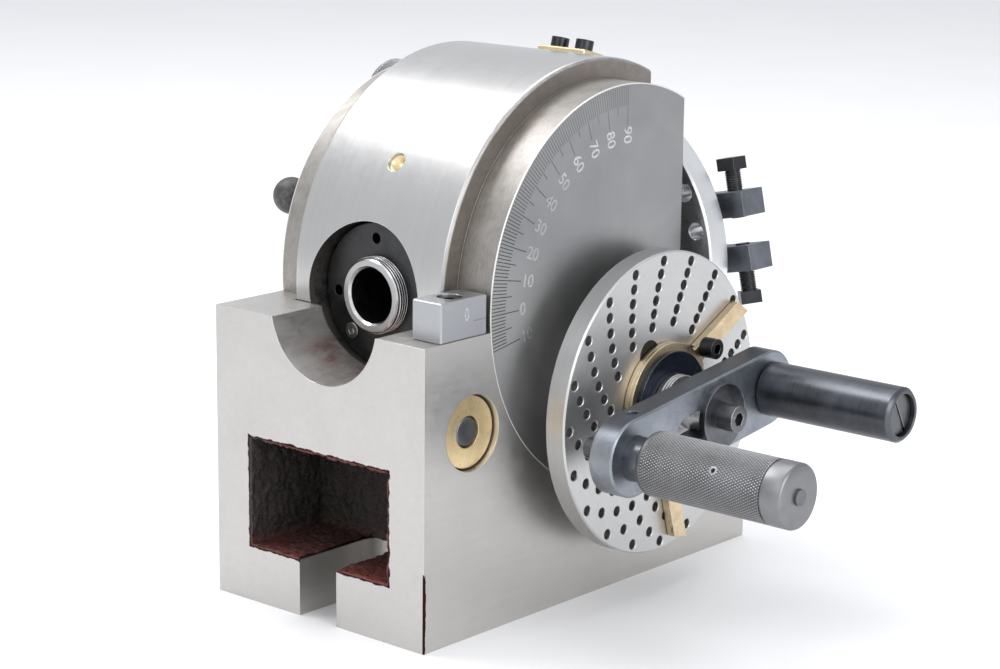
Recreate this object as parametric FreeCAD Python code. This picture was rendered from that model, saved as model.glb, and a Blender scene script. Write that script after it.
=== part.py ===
"""Tilting indexing head for a milling machine: 40:1 worm drive, hole plate, crank and driver fork.

Millimetres.  +X is the spindle nose, -Y is the crank side, +Z is up.
The origin is on the base's bottom plane, straight below the tilt axis, midway across the base.
Each sub-part is one node, written to parts/NODE.step.
"""
import FreeCAD, Part
import math
import os

V = FreeCAD.Vector
X, Y, Z = V(1, 0, 0), V(0, 1, 0), V(0, 0, 1)

# ---------------------------------------------------------------- driving dimensions
CENTRE_H = 100.0            # tilt axis and spindle axis above the table
BASE_HALF_W = 45.0
BASE_REAR_X = -94.3
BASE_FRONT_X = 70.2
BASE_TOP_Z = 95.0
FOOT_TOP_Z = 18.3           # floor of the rear pocket and top of the front foot
SLOT_W = 16.2               # hold-down slots, for M14 studs
TRUNNION_R = 65.0
BAND_R = 72.0
BAND_Y0, BAND_Y1 = -31.1, 32.0
HEAD_FRONT_X = 29.5         # vertical flat across the drum
SPINDLE_Y = 2.0             # the spindle sits slightly towards the far cheek
RUNNING = 0.05              # radial clearance of a shaft in its bush
GAP = 0.3                   # between curved faces that pass each other

MODULE = 1.5                # worm gear
WHEEL_TEETH = 40
WORM_PITCH_R = 6.0
WHEEL_PITCH_R = MODULE * WHEEL_TEETH / 2
CENTRE_DISTANCE = WHEEL_PITCH_R + WORM_PITCH_R
WORM_Z = CENTRE_H - CENTRE_DISTANCE
WORM_LEAD = math.pi * MODULE
WORM_LEAD_DEG = math.degrees(math.atan(WORM_LEAD / (2 * math.pi * WORM_PITCH_R)))
PRESSURE_TAN = math.tan(math.radians(20))

TAIL_X = -68.7              # rear end of the spindle
BORE_R = 8.75               # through bore of the spindle
TAIL_THREAD_R = 11.9
NOSE_X = 70.0
NOSE_R = 22.2
REGISTER_X = 62.5           # the nose's shoulder, which a chuck's back plate seats against
REGISTER_R = 22.0
RECESS_R = 23.6
CAP_FACE_X = -64.5

PLATE_R = 49.2              # hole plate
PLATE_FRONT_Y = -61.5
PLATE_BACK_Y = -53.9
RINGS = range(15, 21)       # hole counts, innermost ring first
RING_0_R = 26.25
RING_STEP = 4.02
SHARED_HOLE_DEG = 54.9      # where every ring has a hole, seen from the crank side
PLATE_HOLE_R = 1.6

ARM_FRONT_Y = -84.0
ARM_BACK_Y = -75.3
ARM_HALF_W = 12.3
CRANK_DEG = 7.5             # direction of the plain handle, seen from the crank side
PIN_R_POS = RING_0_R + 4 * RING_STEP
HANDLE_R_POS = 28.0

INDEX_R = 55.4              # direct index plate on the spindle
INDEX_X0, INDEX_X1 = 35.4, 45.2
INDEX_COUNT = 24
INDEX_HOLE_PCR = 50.5
INDEX_HOLE_R = 2.9

LOCK_X, LOCK_Z = -72.7, 65.2   # tilt lock bolt
DRIVER_DEG = 168.0          # direction of the driver fork about the spindle, from +Y


# ---------------------------------------------------------------- helpers
def rod(r, start, end, axis, a=0.0, b=0.0):
    """A cylinder from start to end along an axis; a and b are its place on the other two axes."""
    low, length = min(start, end), abs(end - start)
    place = {"x": V(low, a, b), "y": V(a, low, b), "z": V(a, b, low)}[axis]
    return Part.makeCylinder(r, length, place, {"x": X, "y": Y, "z": Z}[axis])


def tube(r_out, r_in, start, end, axis, a=0.0, b=0.0):
    return rod(r_out, start, end, axis, a, b).cut(rod(r_in, start - 1, end + 1, axis, a, b))


def block(x0, x1, y0, y1, z0, z1):
    return Part.makeBox(x1 - x0, y1 - y0, z1 - z0, V(x0, y0, z0))


def join(shapes):
    whole = shapes[0].multiFuse(list(shapes[1:])) if len(shapes) > 1 else shapes[0]
    return whole.removeSplitter()


def turned(points, axis, a=0.0, b=0.0):
    """A solid of revolution: points are (place along the axis, radius), in order."""
    along, across = {"x": (X, Z), "y": (Y, Z)}[axis]
    start = {"x": V(0, a, b), "y": V(a, 0, b)}[axis]
    outline = [start + along * s + across * r for s, r in points]
    face = Part.Face(Part.makePolygon(outline + [outline[0]]))
    return face.revolve(start, along, 360)


def prism(outline, axis_dir, depth):
    return Part.Face(Part.makePolygon(outline + [outline[0]])).extrude(axis_dir * depth)


def on_plate(radius, degrees, y):
    """A point on the worm axis's polar grid, seen from the crank side with +X to the right."""
    t = math.radians(degrees)
    return V(radius * math.cos(t), y, WORM_Z + radius * math.sin(t))


def on_spindle(radius, degrees, x):
    """A point about the spindle axis; 0 degrees is +Y and 90 degrees is +Z."""
    t = math.radians(degrees)
    return V(x, SPINDLE_Y + radius * math.cos(t), CENTRE_H + radius * math.sin(t))


def around_spindle(shape, degrees):
    copy = shape.copy()
    copy.rotate(V(0, SPINDLE_Y, CENTRE_H), X, degrees)
    return copy


def around_worm(shape, degrees):
    """Turn about the worm axis, anticlockwise as seen from the crank side."""
    copy = shape.copy()
    copy.rotate(V(0, 0, WORM_Z), -Y, degrees)
    return copy


def tilted(shape, degrees):
    """Turn about the tilt axis; positive turns lower the nose."""
    copy = shape.copy()
    copy.rotate(V(0, 0, CENTRE_H), Y, degrees)
    return copy


def hexagon(across_flats, centre, direction, depth):
    r = across_flats / math.sqrt(3)
    side = X if abs(direction.dot(X)) < 0.9 else Y
    up = direction.cross(side)
    ring = [centre + side * (r * math.cos(math.radians(60 * k))) + up * (r * math.sin(math.radians(60 * k)))
            for k in range(6)]
    return prism(ring, direction, depth)


def cap_screw(size, length, seat, inward, head_h=None):
    """A socket head cap screw: seat is the middle of the head's underside, inward the shank's way."""
    head_h = head_h or size
    head = Part.makeCylinder(size * 0.85, head_h, seat - inward * head_h, inward)
    shank = Part.makeCylinder(size / 2, length, seat, inward)
    socket = hexagon(size * 0.8, seat - inward * head_h, inward, head_h * 0.6)
    return head.fuse(shank).cut(socket)


def grub_screw(size, length, outer_end, inward):
    body = Part.makeCylinder(size / 2, length, outer_end, inward)
    return body.cut(hexagon(size * 0.5, outer_end, inward, length * 0.4))


def countersunk_screw(size, length, head_centre, inward):
    cone = Part.makeCone(size, size / 2, size / 2, head_centre, inward)
    body = cone.fuse(Part.makeCylinder(size / 2, length, head_centre, inward))
    return body.cut(hexagon(size * 0.6, head_centre, inward, size * 0.4))


def screw_hole(size, depth, mouth, inward):
    return Part.makeCylinder(size / 2, depth, mouth, inward)


def countersink(size, depth, mouth, inward):
    cone = Part.makeCone(size, size / 2, size / 2, mouth, inward)
    return cone.fuse(screw_hole(size, depth, mouth, inward))


PARTS = {}


def keep(name, *solids):
    PARTS[name] = solids[0] if len(solids) == 1 else Part.makeCompound(list(solids))


# ---------------------------------------------------------------- base
POCKET_X, POCKET_TOP_Z, POCKET_HALF_W = -61.0, 54.6, 30.4
POCKET_CORNER_R = 1.0
SHOULDER_Z = 42.0           # top of the cheeks in front of the saddle
SHOULDER_X = 38.0
CHANNEL_Z = 22.0            # open channel between the cheeks, for the swinging nose
CHANNEL_X = 12.0
NOTCH_R, NOTCH_Y, NOTCH_Z = 22.6, -2.6, 99.3
SADDLE_R = TRUNNION_R + RUNNING
CAVITY_R = BAND_R + 0.6
SHOE_R = 11.3
SHOE_HOLE_R = 12.0
SHOE_OUT = 42.9             # outer face of a lock shoe, from the middle of the base
SHOE_IN_CRANK, SHOE_IN_FAR = -24.0, 28.0
LOCK_BOLT_R = 5.0


def u_slot(open_x, end_x):
    """A hold-down slot open at one end of the base and round at the other."""
    toward = 1 if end_x > open_x else -1
    middle = end_x - toward * SLOT_W / 2
    low, high = sorted((open_x - toward, middle))
    straight = block(low, high, -SLOT_W / 2, SLOT_W / 2, -1, FOOT_TOP_Z + 1)
    return straight.fuse(rod(SLOT_W / 2, -1, FOOT_TOP_Z + 1, "z", middle, 0))


def base_casting():
    body = block(BASE_REAR_X, BASE_FRONT_X, -BASE_HALF_W, BASE_HALF_W, 0, BASE_TOP_Z)
    front_cut = block(SHOULDER_X, BASE_FRONT_X + 1, -50, 50, FOOT_TOP_Z, BASE_TOP_Z + 1)
    shoulder_cut = block(0, SHOULDER_X + 1, -50, 50, SHOULDER_Z, BASE_TOP_Z + 1)
    channel = block(CHANNEL_X, SHOULDER_X + 1, BAND_Y0 - 4, BAND_Y1 + 2, CHANNEL_Z, BASE_TOP_Z + 1)
    saddle = rod(SADDLE_R, -50, 50, "y", 0, CENTRE_H)
    cavity = rod(CAVITY_R, BAND_Y0 - GAP, BAND_Y1 + GAP, "y", 0, CENTRE_H)
    notch = rod(NOTCH_R, BASE_REAR_X - 1, -40, "x", NOTCH_Y, NOTCH_Z)
    pocket = block(BASE_REAR_X - 1, POCKET_X, -POCKET_HALF_W, POCKET_HALF_W, FOOT_TOP_Z, POCKET_TOP_Z)
    pocket_edges = [e for e in pocket.Edges if abs(e.tangentAt(e.FirstParameter).x) > 0.9]
    pocket = pocket.makeFillet(POCKET_CORNER_R, pocket_edges)
    cuts = [front_cut, shoulder_cut, channel, saddle, cavity, notch, pocket]
    cuts.append(u_slot(BASE_REAR_X, -58.0))
    cuts.append(u_slot(BASE_FRONT_X, 49.0))
    cuts.append(rod(LOCK_BOLT_R + 0.4, -50, 50, "y", LOCK_X, LOCK_Z))
    cuts.append(rod(SHOE_HOLE_R, -50, SHOE_IN_CRANK + 1, "y", LOCK_X, LOCK_Z))
    cuts.append(rod(SHOE_HOLE_R, SHOE_IN_FAR - 1, 50, "y", LOCK_X, LOCK_Z))
    cuts.append(screw_hole(4.0, 16, V(*ZERO_SCREW, BASE_TOP_Z), -Z))
    return body.cut(cuts).removeSplitter()


ZERO_BLOCK = dict(x0=-87.2, x1=-66.6, y0=-45.0, y1=-33.2, z0=BASE_TOP_Z, z1=107.4)
ZERO_SCREW = (-77.0, -39.1)


def zero_index_block():
    body = block(*ZERO_BLOCK.values())
    body = body.makeChamfer(0.4, body.Edges)
    top = V(*ZERO_SCREW, ZERO_BLOCK["z1"])
    line = block(ZERO_BLOCK["x1"] - 6, ZERO_BLOCK["x1"] + 1, -46, -44.85, CENTRE_H - 0.15, CENTRE_H + 0.15)
    return body.cut([screw_hole(7.8, 4.6, top, -Z), screw_hole(4.3, 20, top, -Z), line])


def lock_shoe(outer_y, inner_y):
    """A brass plug whose inner end is hollowed to the drum's band and clamps it when drawn in."""
    body = rod(SHOE_R, outer_y, inner_y, "y", LOCK_X, LOCK_Z)
    hollow = rod(BAND_R + 0.5, BAND_Y0 - GAP, BAND_Y1 + GAP, "y", 0, CENTRE_H)
    return body.cut([hollow, rod(LOCK_BOLT_R + RUNNING, -60, 60, "y", LOCK_X, LOCK_Z)])


def lock_bolt():
    head_y = SHOE_OUT + 2.2
    shank = rod(LOCK_BOLT_R, -41.8, head_y, "y", LOCK_X, LOCK_Z)
    tip = Part.makeCone(LOCK_BOLT_R - 0.8, LOCK_BOLT_R, 0.8, V(LOCK_X, -42.6, LOCK_Z), Y)
    return join([shank, tip, hexagon(16, V(LOCK_X, head_y, LOCK_Z), Y, 6.4)])


def make_base():
    keep("base_casting", base_casting())
    keep("zero_index_block", zero_index_block())
    keep("zero_block_screw", cap_screw(4, 14, V(*ZERO_SCREW, ZERO_BLOCK["z1"] - 4.6), -Z))
    keep("lock_shoe_crank_side", lock_shoe(-SHOE_OUT, SHOE_IN_CRANK))
    keep("lock_shoe_far_side", lock_shoe(SHOE_OUT, SHOE_IN_FAR))
    keep("lock_bolt", lock_bolt())
    keep("lock_bolt_washer", tube(9.5, LOCK_BOLT_R, SHOE_OUT + 0.2, SHOE_OUT + 2.2, "y", LOCK_X, LOCK_Z))


# ---------------------------------------------------------------- swivel head
WHEEL_ROOM_R = 33.5
WHEEL_ROOM_X0 = -12.0
FRONT_BUSH_X0, FRONT_BUSH_R = 10.0, 25.0
FRONT_JOURNAL_R = 20.0
NUT_R = 14.6
REAR_BUSH_X0, REAR_BUSH_X1, REAR_BUSH_R = -49.0, -30.0, 17.0
REAR_JOURNAL_R = 13.0
CAP_BACK_X = -58.0
CAP_R = 22.6
CAP_SCREW_PCR = 17.8
CAP_SCREWS_DEG = (-49, -131)
CAP_SCREW_SINK = 2.6
CAP_HOLES_DEG = (-4, 86, 176, 266)    # plain holes for a pin spanner
SLEEVE_R = 11.0
SLEEVE_FLANGE_R = 25.0
SLEEVE_FLANGE_Y = -45.2
SLEEVE_NOSE_R = 10.0
SLEEVE_NOSE_Y = -69.4       # its outer end is threaded M20
SLEEVE_IN_Y = -18.5
WORM_JOURNAL_R = 6.0
WORM_ROOM_R = 9.0
END_BUSH_Y0, END_BUSH_Y1, END_BUSH_R = 20.0, 32.0, 9.0
HOUSING_SCREW_PCR = 29.2
PLATE_SCREW_PCR = 18.3                # both rings of screws in the sleeve's flange
PLATE_SCREWS_DEG = (113, 233, 353)    # countersunk screws of the hole plate
SLEEVE_SCREWS_DEG = (53, 173, 293)    # cap screws of the sleeve, hidden by the plate
SLEEVE_SCREW_SINK = 5.4
OIL_DEG = -54.7             # the oil hole's direction on the drum
OIL_HOLE_R = 3.2
TOP_PLATE_DEG = 15.5        # the brass plate's direction on the drum
TOP_PLATE = dict(length=20.0, width=11.0, thick=2.0, mid_y=-5.2)
TOP_SEAT_R = 71.4           # flat seat of the brass plate, from the tilt axis
TOP_SCREW_SPAN = 10.4
PEG_Z = CENTRE_H + INDEX_HOLE_PCR     # direct index pin
PEG_R = 4.5
PEG_TIP_R = 2.8
PEG_SHAFT_R = 6.6
PEG_SHAFT_X = 0.0
PEG_BACK_X = -10.0
LOCK_LEVER_X, LOCK_LEVER_Z = -21.0, 100.0   # spindle lock screw on the far side


def top_screw_places():
    return [V(0, TOP_PLATE["mid_y"] + side * TOP_SCREW_SPAN / 2, CENTRE_H) for side in (-1, 1)]


def oil_hole(radius, outer_r, depth):
    """A cylinder down the oil hole, from outer_r off the tilt axis; straight up, then turned back."""
    return tilted(rod(radius, CENTRE_H + outer_r - depth, CENTRE_H + outer_r, "z"), OIL_DEG)


def head_casting():
    band = rod(BAND_R, BAND_Y0, BAND_Y1, "y", 0, CENTRE_H)
    band = band.makeFillet(1.2, [e for e in band.Edges if e.Curve.TypeId == "Part::GeomCircle"])
    body = band.fuse(rod(TRUNNION_R, -BASE_HALF_W, BASE_HALF_W, "y", 0, CENTRE_H))
    seat_y, seat_half = TOP_PLATE["mid_y"], TOP_PLATE["length"] / 2 + 1
    seat_cut = block(-30, 30, seat_y - seat_half, seat_y + seat_half, CENTRE_H + TOP_SEAT_R, 200)
    cuts = [
        block(HEAD_FRONT_X, 100, -60, 60, 0, 200),
        rod(RECESS_R, -80, CAP_BACK_X, "x", SPINDLE_Y, CENTRE_H),
        rod(NUT_R + 0.6, CAP_BACK_X - 1, REAR_BUSH_X0, "x", SPINDLE_Y, CENTRE_H),
        rod(REAR_BUSH_R, REAR_BUSH_X0 - 1, REAR_BUSH_X1, "x", SPINDLE_Y, CENTRE_H),
        rod(REAR_JOURNAL_R + 1, REAR_BUSH_X1 - 1, WHEEL_ROOM_X0 + 1, "x", SPINDLE_Y, CENTRE_H),
        rod(WHEEL_ROOM_R, WHEEL_ROOM_X0, FRONT_BUSH_X0, "x", SPINDLE_Y, CENTRE_H),
        rod(WHEEL_ROOM_R, FRONT_BUSH_X0 - 1, HEAD_FRONT_X + 1, "x", SPINDLE_Y, CENTRE_H),
        rod(SLEEVE_R, -60, SLEEVE_IN_Y, "y", 0, WORM_Z),
        rod(WORM_ROOM_R, SLEEVE_IN_Y - 1, END_BUSH_Y0, "y", 0, WORM_Z),
        rod(END_BUSH_R, END_BUSH_Y0 - 1, END_BUSH_Y1, "y", 0, WORM_Z),
        tilted(seat_cut, TOP_PLATE_DEG),
        rod(PEG_R + RUNNING, PEG_BACK_X - 2, HEAD_FRONT_X + 1, "x", SPINDLE_Y, PEG_Z),
        rod(PEG_SHAFT_R + RUNNING, SPINDLE_Y - 2, 60, "y", PEG_SHAFT_X, PEG_Z),
        rod(5 + RUNNING, SPINDLE_Y + 8, 60, "y", LOCK_LEVER_X, LOCK_LEVER_Z),
        oil_hole(OIL_HOLE_R, BAND_R + 2, 11),
        oil_hole(1.5, BAND_R, 60),
    ]
    for degrees in CAP_SCREWS_DEG:
        cuts.append(screw_hole(3, 10, on_spindle(CAP_SCREW_PCR, degrees, CAP_BACK_X), X))
    for k in range(4):
        cuts.append(screw_hole(5, 10, on_spindle(HOUSING_SCREW_PCR, 45 + 90 * k, HEAD_FRONT_X - 5), -X))
    for degrees in SLEEVE_SCREWS_DEG:
        cuts.append(screw_hole(5, 12, on_plate(PLATE_SCREW_PCR, degrees, -BASE_HALF_W), Y))
    for place in top_screw_places():
        cuts.append(tilted(screw_hole(3.5, 8, place + Z * TOP_SEAT_R, -Z), TOP_PLATE_DEG))
    return body.cut(cuts).removeSplitter()


def rear_cap():
    body = tube(CAP_R, TAIL_THREAD_R + 0.5, CAP_FACE_X, CAP_BACK_X, "x", SPINDLE_Y, CENTRE_H)
    cuts = [screw_hole(3.6, 20, on_spindle(CAP_SCREW_PCR, degrees, CAP_FACE_X), X)
            for degrees in CAP_HOLES_DEG]
    for degrees in CAP_SCREWS_DEG:
        seat = on_spindle(CAP_SCREW_PCR, degrees, CAP_FACE_X)
        cuts += [screw_hole(3.2, 20, seat, X), screw_hole(5.5, CAP_SCREW_SINK, seat, X)]
    return body.cut(cuts)


def rear_cap_screws():
    return [cap_screw(3, 10, on_spindle(CAP_SCREW_PCR, degrees, CAP_FACE_X + CAP_SCREW_SINK), X)
            for degrees in CAP_SCREWS_DEG]


def front_housing():
    """A ring that closes the wheel room and carries the front bush."""
    body = tube(WHEEL_ROOM_R - RUNNING, FRONT_BUSH_R, FRONT_BUSH_X0, HEAD_FRONT_X, "x", SPINDLE_Y, CENTRE_H)
    for k in range(4):
        seat = on_spindle(HOUSING_SCREW_PCR, 45 + 90 * k, HEAD_FRONT_X)
        body = body.cut([screw_hole(4.3, 30, seat, -X), screw_hole(7.2, 5, seat, -X)])
    return body


def front_housing_screws():
    return [cap_screw(4, 12, on_spindle(HOUSING_SCREW_PCR, 45 + 90 * k, HEAD_FRONT_X - 5), -X)
            for k in range(4)]


def ball_oiler():
    """A brass cup sunk in the oil hole, with a ball that closes its bore."""
    rim_r, cup_r, mouth_r, bore_r, mouth_depth = BAND_R - 1.0, OIL_HOLE_R - RUNNING, 2.6, 1.3, 2.4
    rim = V(0, 0, CENTRE_H + rim_r)
    cup = Part.makeCylinder(cup_r, 7, rim, -Z)
    mouth = Part.makeCone(mouth_r, bore_r, mouth_depth, rim, -Z)
    cup = cup.cut([mouth, Part.makeCylinder(bore_r, 8, rim, -Z)])
    return tilted(cup.fuse(Part.makeSphere(1.6, rim - Z * 2.8)), OIL_DEG)


def top_brass_plate():
    t = TOP_PLATE
    seat_z = CENTRE_H + TOP_SEAT_R
    body = block(-t["width"] / 2, t["width"] / 2, t["mid_y"] - t["length"] / 2, t["mid_y"] + t["length"] / 2,
                 seat_z, seat_z + t["thick"])
    body = body.makeChamfer(0.4, body.Edges)
    holes = [screw_hole(3.7, 20, place + Z * (TOP_SEAT_R + 10), -Z) for place in top_screw_places()]
    return tilted(body.cut(holes), TOP_PLATE_DEG)


def top_plate_screws():
    under_head = Z * (TOP_SEAT_R + TOP_PLATE["thick"])
    return [tilted(cap_screw(3.5, 7, place + under_head, -Z, 3.6), TOP_PLATE_DEG)
            for place in top_screw_places()]


def worm_sleeve():
    """The flanged bush that carries the worm shaft, the hole plate and the sector arms."""
    points = [(SLEEVE_IN_Y, 0), (SLEEVE_IN_Y, SLEEVE_R - RUNNING), (SLEEVE_FLANGE_Y, SLEEVE_R - RUNNING),
              (SLEEVE_FLANGE_Y, SLEEVE_FLANGE_R), (PLATE_BACK_Y, SLEEVE_FLANGE_R),
              (PLATE_BACK_Y, SLEEVE_NOSE_R), (SLEEVE_NOSE_Y, SLEEVE_NOSE_R), (SLEEVE_NOSE_Y, 0)]
    body = turned(points, "y", 0, WORM_Z)
    cuts = [rod(WORM_JOURNAL_R + RUNNING, -70, 0, "y", 0, WORM_Z)]
    for degrees in SLEEVE_SCREWS_DEG:
        seat = on_plate(PLATE_SCREW_PCR, degrees, PLATE_BACK_Y)
        cuts += [screw_hole(5.3, 20, seat, Y), screw_hole(8.8, SLEEVE_SCREW_SINK, seat, Y)]
    for degrees in PLATE_SCREWS_DEG:
        cuts.append(screw_hole(5, 7, on_plate(PLATE_SCREW_PCR, degrees, PLATE_BACK_Y), Y))
    return body.cut(cuts)


def worm_sleeve_screws():
    return [cap_screw(5, 11, on_plate(PLATE_SCREW_PCR, degrees, PLATE_BACK_Y + SLEEVE_SCREW_SINK), Y)
            for degrees in SLEEVE_SCREWS_DEG]


def ring_radius(count):
    return RING_0_R + RING_STEP * (count - RINGS[0])


def hole_plate():
    body = turned([(PLATE_BACK_Y, 0), (PLATE_BACK_Y, PLATE_R - 0.5), (PLATE_BACK_Y - 0.5, PLATE_R),
                   (PLATE_FRONT_Y + 0.5, PLATE_R), (PLATE_FRONT_Y, PLATE_R - 0.5), (PLATE_FRONT_Y, 0)],
                  "y", 0, WORM_Z)
    holes = [rod(SLEEVE_NOSE_R + 0.02, -70, -50, "y", 0, WORM_Z)]
    for count in RINGS:
        for k in range(count):
            place = on_plate(ring_radius(count), SHARED_HOLE_DEG + 360.0 * k / count, PLATE_FRONT_Y - 1)
            holes.append(Part.makeCylinder(PLATE_HOLE_R, 10, place, Y))
    for degrees in PLATE_SCREWS_DEG:
        holes.append(countersink(5, 12, on_plate(PLATE_SCREW_PCR, degrees, PLATE_FRONT_Y), Y))
    return body.cut(Part.makeCompound(holes))


def hole_plate_screws():
    return [countersunk_screw(4.9, 13, on_plate(PLATE_SCREW_PCR, degrees, PLATE_FRONT_Y + 0.1), Y)
            for degrees in PLATE_SCREWS_DEG]


def make_head():
    keep("head_casting", head_casting())
    keep("rear_cap", rear_cap())
    keep("rear_cap_screws", *rear_cap_screws())
    keep("front_bearing_housing", front_housing())
    keep("front_housing_screws", *front_housing_screws())
    keep("spindle_front_bush", tube(FRONT_BUSH_R, FRONT_JOURNAL_R + RUNNING, FRONT_BUSH_X0, HEAD_FRONT_X,
                                    "x", SPINDLE_Y, CENTRE_H))
    keep("spindle_rear_bush", tube(REAR_BUSH_R, REAR_JOURNAL_R + RUNNING, REAR_BUSH_X0, REAR_BUSH_X1,
                                   "x", SPINDLE_Y, CENTRE_H))
    keep("ball_oiler", ball_oiler())
    keep("top_brass_plate", top_brass_plate())
    keep("top_plate_screws", *top_plate_screws())
    keep("worm_sleeve", worm_sleeve())
    keep("worm_sleeve_screws", *worm_sleeve_screws())
    keep("worm_end_bush", tube(END_BUSH_R, WORM_END_R + RUNNING, END_BUSH_Y0, END_BUSH_Y1, "y", 0, WORM_Z))
    keep("hole_plate", hole_plate())
    keep("hole_plate_screws", *hole_plate_screws())


# ---------------------------------------------------------------- spindle
TAPER_BIG_R = 23.825 / 2     # number 3 Morse taper socket
TAPER_LENGTH = 81.0
TAPER_SMALL_R = TAPER_BIG_R - TAPER_LENGTH / 19.922 / 2
WHEEL_HALF_W = 7.0
WHEEL_SEAT_R = 15.0
FLANGE_X0 = 30.2
FLANGE_R = 30.5
RELIEF_WIDTH, RELIEF_DEPTH = 0.8, 0.4   # groove at the root of the nose's register
INDEX_SCREW_PCR = 26.6


def spindle():
    outline = [(TAIL_X, 0), (TAIL_X, TAIL_THREAD_R - 0.6), (TAIL_X + 0.6, TAIL_THREAD_R),
               (CAP_BACK_X + 8.6, TAIL_THREAD_R), (CAP_BACK_X + 8.6, REAR_JOURNAL_R),
               (-WHEEL_HALF_W, REAR_JOURNAL_R),
               (-WHEEL_HALF_W, WHEEL_SEAT_R), (WHEEL_HALF_W, WHEEL_SEAT_R), (WHEEL_HALF_W, FRONT_JOURNAL_R),
               (FLANGE_X0, FRONT_JOURNAL_R), (FLANGE_X0, FLANGE_R), (INDEX_X0, FLANGE_R), (INDEX_X0, NOSE_R),
               (REGISTER_X, NOSE_R), (REGISTER_X, REGISTER_R - RELIEF_DEPTH),
               (REGISTER_X + RELIEF_WIDTH, REGISTER_R - RELIEF_DEPTH), (REGISTER_X + RELIEF_WIDTH, REGISTER_R),
               (NOSE_X - 1.0, REGISTER_R), (NOSE_X, REGISTER_R - 1.0), (NOSE_X, 0)]
    body = turned(outline, "x", SPINDLE_Y, CENTRE_H)
    bore = rod(BORE_R, TAIL_X - 1, 0, "x", SPINDLE_Y, CENTRE_H)
    taper_x = NOSE_X - TAPER_LENGTH
    socket = Part.makeCone(TAPER_SMALL_R, TAPER_BIG_R, TAPER_LENGTH, V(taper_x, SPINDLE_Y, CENTRE_H), X)
    mouth = Part.makeCone(BORE_R, BORE_R + 0.9, 1.0, V(TAIL_X + 0.9, SPINDLE_Y, CENTRE_H), -X)
    keyway = block(-6, 6, SPINDLE_Y - 2.5, SPINDLE_Y + 2.5, CENTRE_H + WHEEL_SEAT_R - 2.5, CENTRE_H + 20)
    cuts = [bore, socket, mouth, keyway]
    for k in range(4):
        cuts.append(screw_hole(4, 12, on_spindle(INDEX_SCREW_PCR, 90 * k + 45, INDEX_X0 + 1), -X))
    return body.cut(cuts)


def worm_wheel():
    """40 straight slots set over at the worm's lead angle, cut across a plain blank."""
    tip_r, root_r = WHEEL_PITCH_R + MODULE, WHEEL_PITCH_R - 1.27 * MODULE
    body = tube(tip_r, WHEEL_SEAT_R + 0.01, -WHEEL_HALF_W, WHEEL_HALF_W, "x", SPINDLE_Y, CENTRE_H)
    body = body.cut(block(-8, 8, SPINDLE_Y - 2.5, SPINDLE_Y + 2.5, CENTRE_H, CENTRE_H + WHEEL_SEAT_R + 2.6))
    half_gap = WORM_LEAD / 4

    def gap_point(radius):
        return half_gap + (radius - WHEEL_PITCH_R) * PRESSURE_TAN

    deep, out = root_r, tip_r + 1
    outline = [V(-12, SPINDLE_Y - gap_point(deep), CENTRE_H - deep),
               V(-12, SPINDLE_Y + gap_point(deep), CENTRE_H - deep),
               V(-12, SPINDLE_Y + gap_point(out), CENTRE_H - out),
               V(-12, SPINDLE_Y - gap_point(out), CENTRE_H - out)]
    slot = prism(outline, X, 24)
    slot.rotate(V(0, SPINDLE_Y, CENTRE_H), Z, WORM_LEAD_DEG)
    slots = [around_spindle(slot, 360.0 * k / WHEEL_TEETH) for k in range(WHEEL_TEETH)]
    return body.cut(Part.makeCompound(slots))


def index_plate():
    edge = 0.6
    body = turned([(INDEX_X0, 0), (INDEX_X0, INDEX_R - edge), (INDEX_X0 + edge, INDEX_R),
                   (INDEX_X1 - edge, INDEX_R), (INDEX_X1, INDEX_R - edge), (INDEX_X1, 0)],
                  "x", SPINDLE_Y, CENTRE_H)
    holes = [rod(NOSE_R + 0.01, 30, 50, "x", SPINDLE_Y, CENTRE_H)]
    for k in range(INDEX_COUNT):
        place = on_spindle(INDEX_HOLE_PCR, 360.0 * k / INDEX_COUNT, INDEX_X0 - 1)
        holes.append(Part.makeCylinder(INDEX_HOLE_R, 12, place, X))
    for k in range(4):
        holes.append(countersink(4, 12, on_spindle(INDEX_SCREW_PCR, 90 * k + 45, INDEX_X1), -X))
    for degrees in FORK_SCREWS_DEG:
        holes.append(screw_hole(4, 8, on_spindle(FORK_SCREW_PCR, degrees, INDEX_X1), -X))
    return body.cut(Part.makeCompound(holes))


FORK_X0, FORK_X1 = 50.0, 62.0
FORK_SCREW_PCR = 25.8
FORK_SCREWS_DEG = (0, 120, 240)
FORK_GAP = 9.6               # room for the tail of a lathe dog
FORK_FINGER = 8.6
FORK_OUT_R = 60.0
FORK_ROOT_R = 34.0
DOG_SCREW_R_POS = 53.3       # the two square-head screws, from the spindle axis
DOG_SCREW_R = 2.4
DOG_SCREW_SHOWN = 7.0        # shank between finger and head
DOG_HEAD_W, DOG_HEAD_H = 7.0, 4.2


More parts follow.
